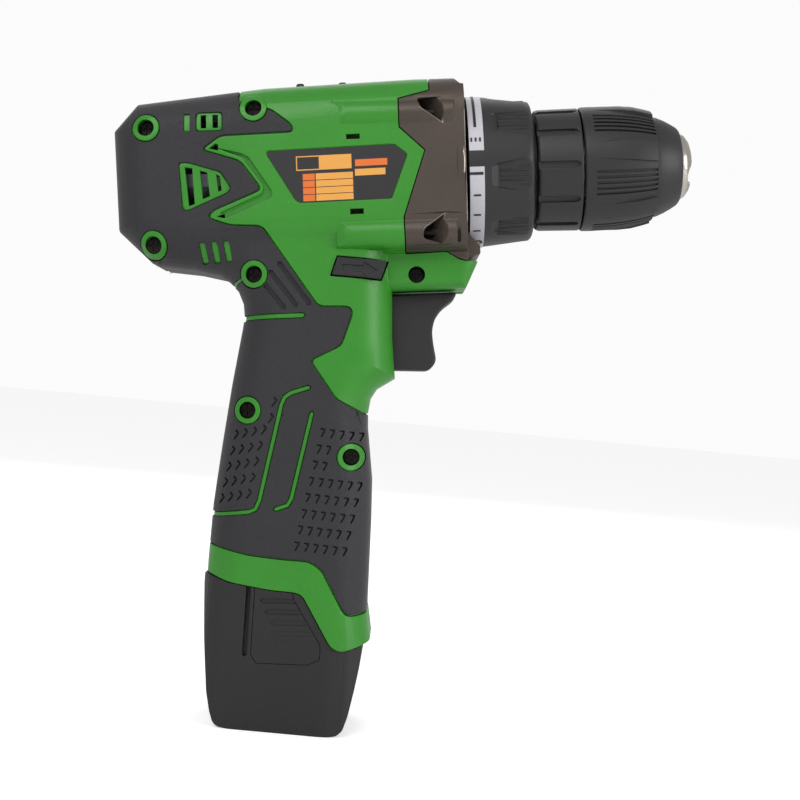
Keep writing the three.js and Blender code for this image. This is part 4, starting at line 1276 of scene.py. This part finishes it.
@dataclass
class Chuck:
    """The keyless chuck: rear sleeve, turning front sleeve, steel body and nose."""

    start: float = 20.8
    rear_end: float = 33.9
    front_start: float = 34.4
    end: float = 67.2
    radius: float = 18.4
    bore: float = 5.3
    jaw_degrees: float = 15.0
    jaw_hole: float = 3.15
    rear_slots: int = 11
    groups: int = 6
    grooves: int = 5
    groove_depth: float = 0.7
    pad_rise: float = 0.75

    def build(self) -> None:
        """Makes the sleeves and the body."""
        rear = turned((
            (19.9, 8.6), (21.0, 8.6), (21.0, 12.8), (self.rear_end, 12.8), (self.rear_end, 17.9),
            (self.rear_end - 0.3, 18.1), (22.0, 17.9), (self.start + 0.4, 17.6), (self.start, 17.2),
            (self.start, 14.0), (19.9, 14.0),
        ), 132)
        slots = []
        for i in range(self.rear_slots):
            outline = stroke(((19.0, 0.0), (32.2, 0.0)), 2.1)
            bm = bmesh.new()
            slab(bm, softened(outline, 0.7), 17.2, 30)
            upright = Matrix.Rotation(math.radians(90), 3, "X")
            bmesh.ops.rotate(bm, verts=bm.verts, cent=(0, 0, 0), matrix=upright)
            slots.append(around(to_mesh(bm), 62.0 - i * 360 / self.rear_slots))
        rear = eased(combine(rear, Operation.CUT, together(slots)), 0.16, 30)
        piece("chuck_rear_grip", rear, "spindle", [BLACK_NYLON],
              ("chuck_rear_sleeve",))
        self.front()
        body = turned((
            (self.start + 0.4, 5.1), (37.0, 5.1), (37.0, self.bore), (self.end - 0.5, self.bore),
            (self.end - 0.1, self.bore + 0.4), (self.end, 6.2), (self.end - 0.5, 7.6),
            (self.end - 1.6, 9.1),
            (self.end - 2.9, 9.95), (61.2, 10.1), (61.2, 12.0), (50.8, 12.0), (40.8, 12.5),
            (self.start + 0.4, 12.5),
        ), 96)
        holes = []
        slope = math.tan(math.radians(self.jaw_degrees))
        low, high = ((x, 0, 5.4 + (self.end - x) * slope) for x in (52.0, self.end + 3))
        hole = drum(low, high, self.jaw_hole, sides=40)
        for degrees in (0, 120, 240):
            holes.append(moved(hole, Matrix.Rotation(math.radians(degrees), 4, "X")))
        body = eased(combine(body, Operation.CUT, *holes), 0.12, 40)
        piece("chuck_steel_body", body, "spindle", [NICKEL_STEEL], ("chuck_body",))

    def front(self) -> None:
        """Makes the front sleeve with its ribs and raised pads."""
        surface: Outline = (
            (self.front_start, 18.0), (self.front_start + 0.5, 18.35), (37.5, self.radius),
            (42.0, 18.25), (46.0, 17.9), (50.0, 17.3), (53.0, 16.6), (55.6, 15.9), (55.9, 14.9),
            (57.2, 14.7), (59.4, 13.8), (61.6, 12.6), (63.2, 11.6), (63.8, 10.9),
        )
        inner: Outline = (
            (63.8, 10.5), (61.6, 10.5), (61.6, 12.2), (55.0, 12.6), (48.8, 16.65),
            (self.front_start, 16.9),
        )
        sleeve = turned((*surface, *inner), 144)
        grooves, pads = [], []
        span = [point for point in surface if 37 < point[0] < 55.7]
        deep = tuple((x, r - self.groove_depth) for x, r in span)
        high = tuple((x, r + 2.5) for x, r in reversed(span))
        groove = turned((*deep, *high), 2, 2.3)
        low = tuple((x, r - 1.0) for x, r in span)
        # The pads rise over their first 6 mm and never stand out past the sleeve's widest turn.
        rises = tuple((x, r + self.pad_rise * min(1.0, (x - 36.0) / 6)) for x, r in span)
        top = tuple((x, min(r, self.radius - 0.02)) for x, r in rises)
        for group in range(self.groups):
            middle = 39.0 - group * 360 / self.groups
            for k in range(self.grooves):
                grooves.append(around(groove, middle + (k - self.grooves // 2) * 5.1))
            pad = around(turned((*low, *reversed(top)), 8, 20.0), middle - 30)
            self.taper(pad, middle - 30)
            pads.append(pad)
        sleeve = combine(sleeve, Operation.CUT, together(grooves))
        sleeve = eased(combine(sleeve, Operation.JOIN, together(pads)), 0.14, 30)
        piece("chuck_front_grip", sleeve, "chuck_sleeve", [BLACK_NYLON],
              ("chuck_front_sleeve",))

    def taper(self, mesh: bpy.types.Mesh, middle: float) -> None:
        """Narrows a pad towards the sleeve's front.

        Args:
            mesh: The pad, changed in place.
            middle: Its middle angle in degrees.
        """
        for vert in mesh.vertices:
            radius = math.hypot(vert.co.y, vert.co.z)
            turn = math.atan2(vert.co.z, -vert.co.y) - math.radians(middle)
            turn = (turn + math.pi) % (2 * math.pi) - math.pi
            turn = math.radians(middle) + turn * (0.78 + 0.3 * (vert.co.x - 38) / 16)
            vert.co.y, vert.co.z = -radius * math.cos(turn), radius * math.sin(turn)


# ---------------------------------------------------------------- controls


@dataclass
class Controls:
    """Trigger, direction selector and speed selector."""

    trigger_half: float = 7.0
    reach: float = 21.6
    arrow_depth: float = 0.35
    ridge: float = 2.4

    def build(self) -> None:
        """Makes the three controls."""
        trigger = prism(softened(TRIGGER, 1.6, 5), -self.trigger_half, self.trigger_half)
        pocket = drum((-40, 0, -47), (-12.3, 0, -47), 3.6)
        trigger = combine(trigger, Operation.CUT, pocket)
        piece("trigger_lever", eased(trigger, 0.9), "trigger", [BLACK_ABS],
              ("trigger",))
        key = prism(softened(DIRECTION, 0.5), -self.reach, self.reach)
        relief = block((-41, -13, -60), (-23, 13, -30.4))
        arrow = placed(ARROW, -32.0, -29.3)
        cutters = [prism(arrow, *span) for span in flanks(self.reach - self.arrow_depth)]
        key = combine(key, Operation.CUT, relief, *cutters)
        piece("direction_key", eased(key, 0.25), "direction_selector", [BLACK_ABS],
              ("direction_selector",))
        base = block((-49.4, -6.8, 22), (-33.4, 6.8, 24.2), 0.4)
        ridges = [block((x, -7, 23), (x + self.ridge, 7, 27.0), 0.7) for x in (-49.1, -36.6)]
        slider = eased(combine(base, Operation.JOIN, *ridges), 0)
        piece("speed_slider", slider, "speed_selector", [BLACK_ABS],
              ("speed_selector",))


# ---------------------------------------------------------------- battery


@dataclass
class BatteryPack:
    """The battery's outer tub and its two latch plates."""

    half: float = 21.5
    corner: float = 13.0
    slit: float = 1.3
    slit_depth: float = 4.0
    window_depth: float = 4.5
    latch_wall: float = 2.1
    ridges: int = 5
    ridge_width: float = 1.5
    ridge_depth: float = 1.5

    def build(self) -> None:
        """Makes the tub and the latches."""
        stand = TOOL.stand_matrix()
        side = prism(softened(TUB, 0.8))
        plan = post(-40.8, 25.0, self.half, self.corner, 0.0, 60.0)
        tub = combine(side, Operation.COMMON, plan)
        bm = bmesh.new()
        bm.from_mesh(tub)
        for vert in bm.verts:
            low, foot = max(0.0, 1 - vert.co.z / 22), max(0.0, 1 - vert.co.z / 2)
            vert.co.y *= 1 - 0.07 * low**2 - 0.05 * foot
        tub = moved(to_mesh(bm), stand)
        pack = prism(offset(softened(PACK_REGION, 1.6), -0.12))
        tub = combine(tub, Operation.COMMON, pack)
        latch = softened(LATCH, 0.8)
        slit = stroke(((-66.1, -112.0), (-66.3, -121.0), (-68.1, -139.0)), self.slit)
        slits = [prism(slit, *span) for span in flanks(self.half - self.slit_depth)]
        gaps = [prism(offset(latch, 0.1), *span) for span in flanks(self.half - self.window_depth)]
        hollow = moved(post(-41.6, 18.6, 17.2, 9.0, 5.0, 80.0), stand)
        plates = [
            combine(tub, Operation.COMMON, prism(latch, *span))
            for span in flanks(self.half - self.latch_wall)
        ]
        tub = eased(combine(tub, Operation.CUT, *slits, *gaps, hollow), 0.2)
        piece("battery_shell", tub, "battery", [BLACK_ABS], ("battery_tub",))
        outlines = []
        for i in range(self.ridges):
            start, level = -62.4 + 1.25 * i, -123.6 - 3.2 * i
            path = ((start, level), (start + 10.0, level - 0.6))
            outlines.append(stroke(path, self.ridge_width))
        spans = flanks(self.half - self.ridge_depth)
        for name, plate, span in zip(("right", "left"), plates, spans):
            # The ridges are cut last, because a rounded face with many holes would crack.
            ridges = [prism(points, *span) for points in outlines]
            plate = combine(eased(plate, 0.15), Operation.CUT, *ridges)
            body = f"battery_latch_{name}"
            piece(f"latch_plate_{name}", plate, body, [BLACK_ABS], (body,))


# ---------------------------------------------------------------- inner parts


@dataclass(frozen=True)
class InnerWorks:
    """Finishes of the CAD nodes that keep their own shape."""

    table: tuple[tuple[Finish, tuple[str, ...]], ...] = (
        (ZINC_CAN, ("motor_can",)),
        (BLACK_ABS, (
            "motor_end_bell", "switch_module", "battery_post", "terminal_block", "motor_fan",
        )),
        (FERRITE, ("magnet_upper", "magnet_lower", "brush_right", "brush_left")),
        (COPPER, ("armature", "commutator")),
        (WHITE_NYLON, ("first_ring_gear", *numbered("first_planet", 3))),
        (TOOL_STEEL, (
            "motor_pinion", "first_carrier", *numbered("second_planet", 3), "second_ring_gear",
            "spindle", "spindle_bearing", "clutch_spring", "trigger_spring", "chuck_nut",
            *numbered("chuck_jaw", 3),
        )),
        (CELL_FILM, numbered("battery_cell", 3)),
        (BLACK_SCREW, (
            "chuck_screw", *numbered("housing_screw", 7), *numbered("case_screw", 4),
        )),
    )

    def dress(self) -> None:
        """Gives each node its finish."""
        for finish, names in self.table:
            for name in names:
                shape = frame["nodes"][name]
                shape.data.materials.clear()
                shape.data.materials.append(finish.build())
                LOG.info("%s: %s", name, finish.name)


# ---------------------------------------------------------------- studio


@dataclass
class Studio:
    """Floor, lights and camera."""

    camera_at: tuple[float, float, float] = (0.0048, -0.450, 0.0987)
    lens: float = 67.5
    roll: float = 5.25
    ambient: float = 0.5
    backdrop: float = 0.97
    floor_glow: float = 0.47
    lamps: tuple[tuple[str, tuple[float, float, float], float, float], ...] = (
        ("key", (-0.25, -0.75, 0.75), 0.5, 3.4),
        ("front", (0.75, -0.45, 0.35), 0.45, 3.0),
        ("back", (-0.1, 0.8, 0.6), 0.8, 2.4),
    )

    def build(self) -> None:
        """Makes the pale floor, the backdrop, the soft lights and the camera."""
        self.floor()
        self.backdrop_and_lights()
        self.camera()

    def seen(self, tree: bpy.types.NodeTree, lit: float, shown: float) -> bpy.types.NodeSocket:
        """Adds a strength that is one value for the camera and another for the light it casts.

        Args:
            tree: The floor's or the world's node tree.
            lit: The strength that falls on the drill.
            shown: The strength that the camera sees.

        Returns:
            The strength.
        """
        camera_ray = node(tree, "ShaderNodeLightPath").outputs["Is Camera Ray"]
        levels = {"Value": camera_ray, "To Min": lit, "To Max": shown}
        return node(tree, "ShaderNodeMapRange", levels).outputs[0]

    def floor(self) -> None:
        """Makes the floor of pale matt paper."""
        bm = bmesh.new()
        bmesh.ops.create_grid(bm, x_segments=2, y_segments=2, size=6.0)
        mesh = bpy.data.meshes.new("floor")
        bm.to_mesh(mesh)
        bm.free()
        paper = Finish("paper_floor", "#F4F4F4", "#F1F1F1", 0.85, Grain.SMOOTH, 5.0, 0.01).build()
        tree = paper.node_tree
        shader = next(part for part in tree.nodes if part.type == "BSDF_PRINCIPLED")
        shader.inputs["Emission Color"].default_value = linear("#FFFFFF")
        glow = self.seen(tree, 0.0, self.floor_glow)
        tree.links.new(glow, shader.inputs["Emission Strength"])
        mesh.materials.append(paper)
        floor = bpy.data.objects.new("floor", mesh)
        bpy.context.scene.collection.objects.link(floor)

    def backdrop_and_lights(self) -> None:
        """Makes the white world and three soft lamps that face the drill's middle."""
        world = bpy.data.worlds.new("studio")
        bpy.context.scene.world = world
        world.use_nodes = True
        tree = world.node_tree
        tree.nodes.clear()
        level = self.seen(tree, self.ambient, self.backdrop)
        sky = node(tree, "ShaderNodeBackground", {"Color": linear("#FFFFFF"), "Strength": level})
        node(tree, "ShaderNodeOutputWorld", {"Surface": sky.outputs[0]})
        centre = Vector((0.0, 0.0, 0.1))
        for name, place, size, power in self.lamps:
            light = bpy.data.lights.new(name, "AREA")
            light.size, light.energy = size, power
            lamp = bpy.data.objects.new(name, light)
            lamp.location = place
            lamp.rotation_euler = (centre - Vector(place)).to_track_quat("-Z", "Y").to_euler()
            bpy.context.scene.collection.objects.link(lamp)

    def camera(self) -> None:
        """Makes the camera, which looks along Y and leans a little."""
        data = bpy.data.cameras.new("camera")
        data.lens, data.sensor_width = self.lens, 36.0
        data.clip_start, data.clip_end = 0.01, 50.0
        camera = bpy.data.objects.new("camera", data)
        angle = math.radians(self.roll)
        right = Vector((math.cos(angle), 0, math.sin(angle)))
        up = Vector((-math.sin(angle), 0, math.cos(angle)))
        turn = Matrix((right, up, right.cross(up))).transposed()
        camera.matrix_world = Matrix.Translation(self.camera_at) @ turn.to_4x4()
        bpy.context.scene.collection.objects.link(camera)
        bpy.context.scene.camera = camera
        bpy.context.scene.view_settings.view_transform = "Standard"


def main() -> None:
    """Builds the drill's looks and its studio."""
    logging.basicConfig(level=logging.INFO, format="%(name)s %(message)s")
    housing = Housing()
    housing.build()
    GearCase().build(housing)
    TorqueCollar().build()
    Chuck().build()
    Controls().build()
    BatteryPack().build()
    InnerWorks().dress()
    Studio().build()


if __name__ == "__main__":
    main()
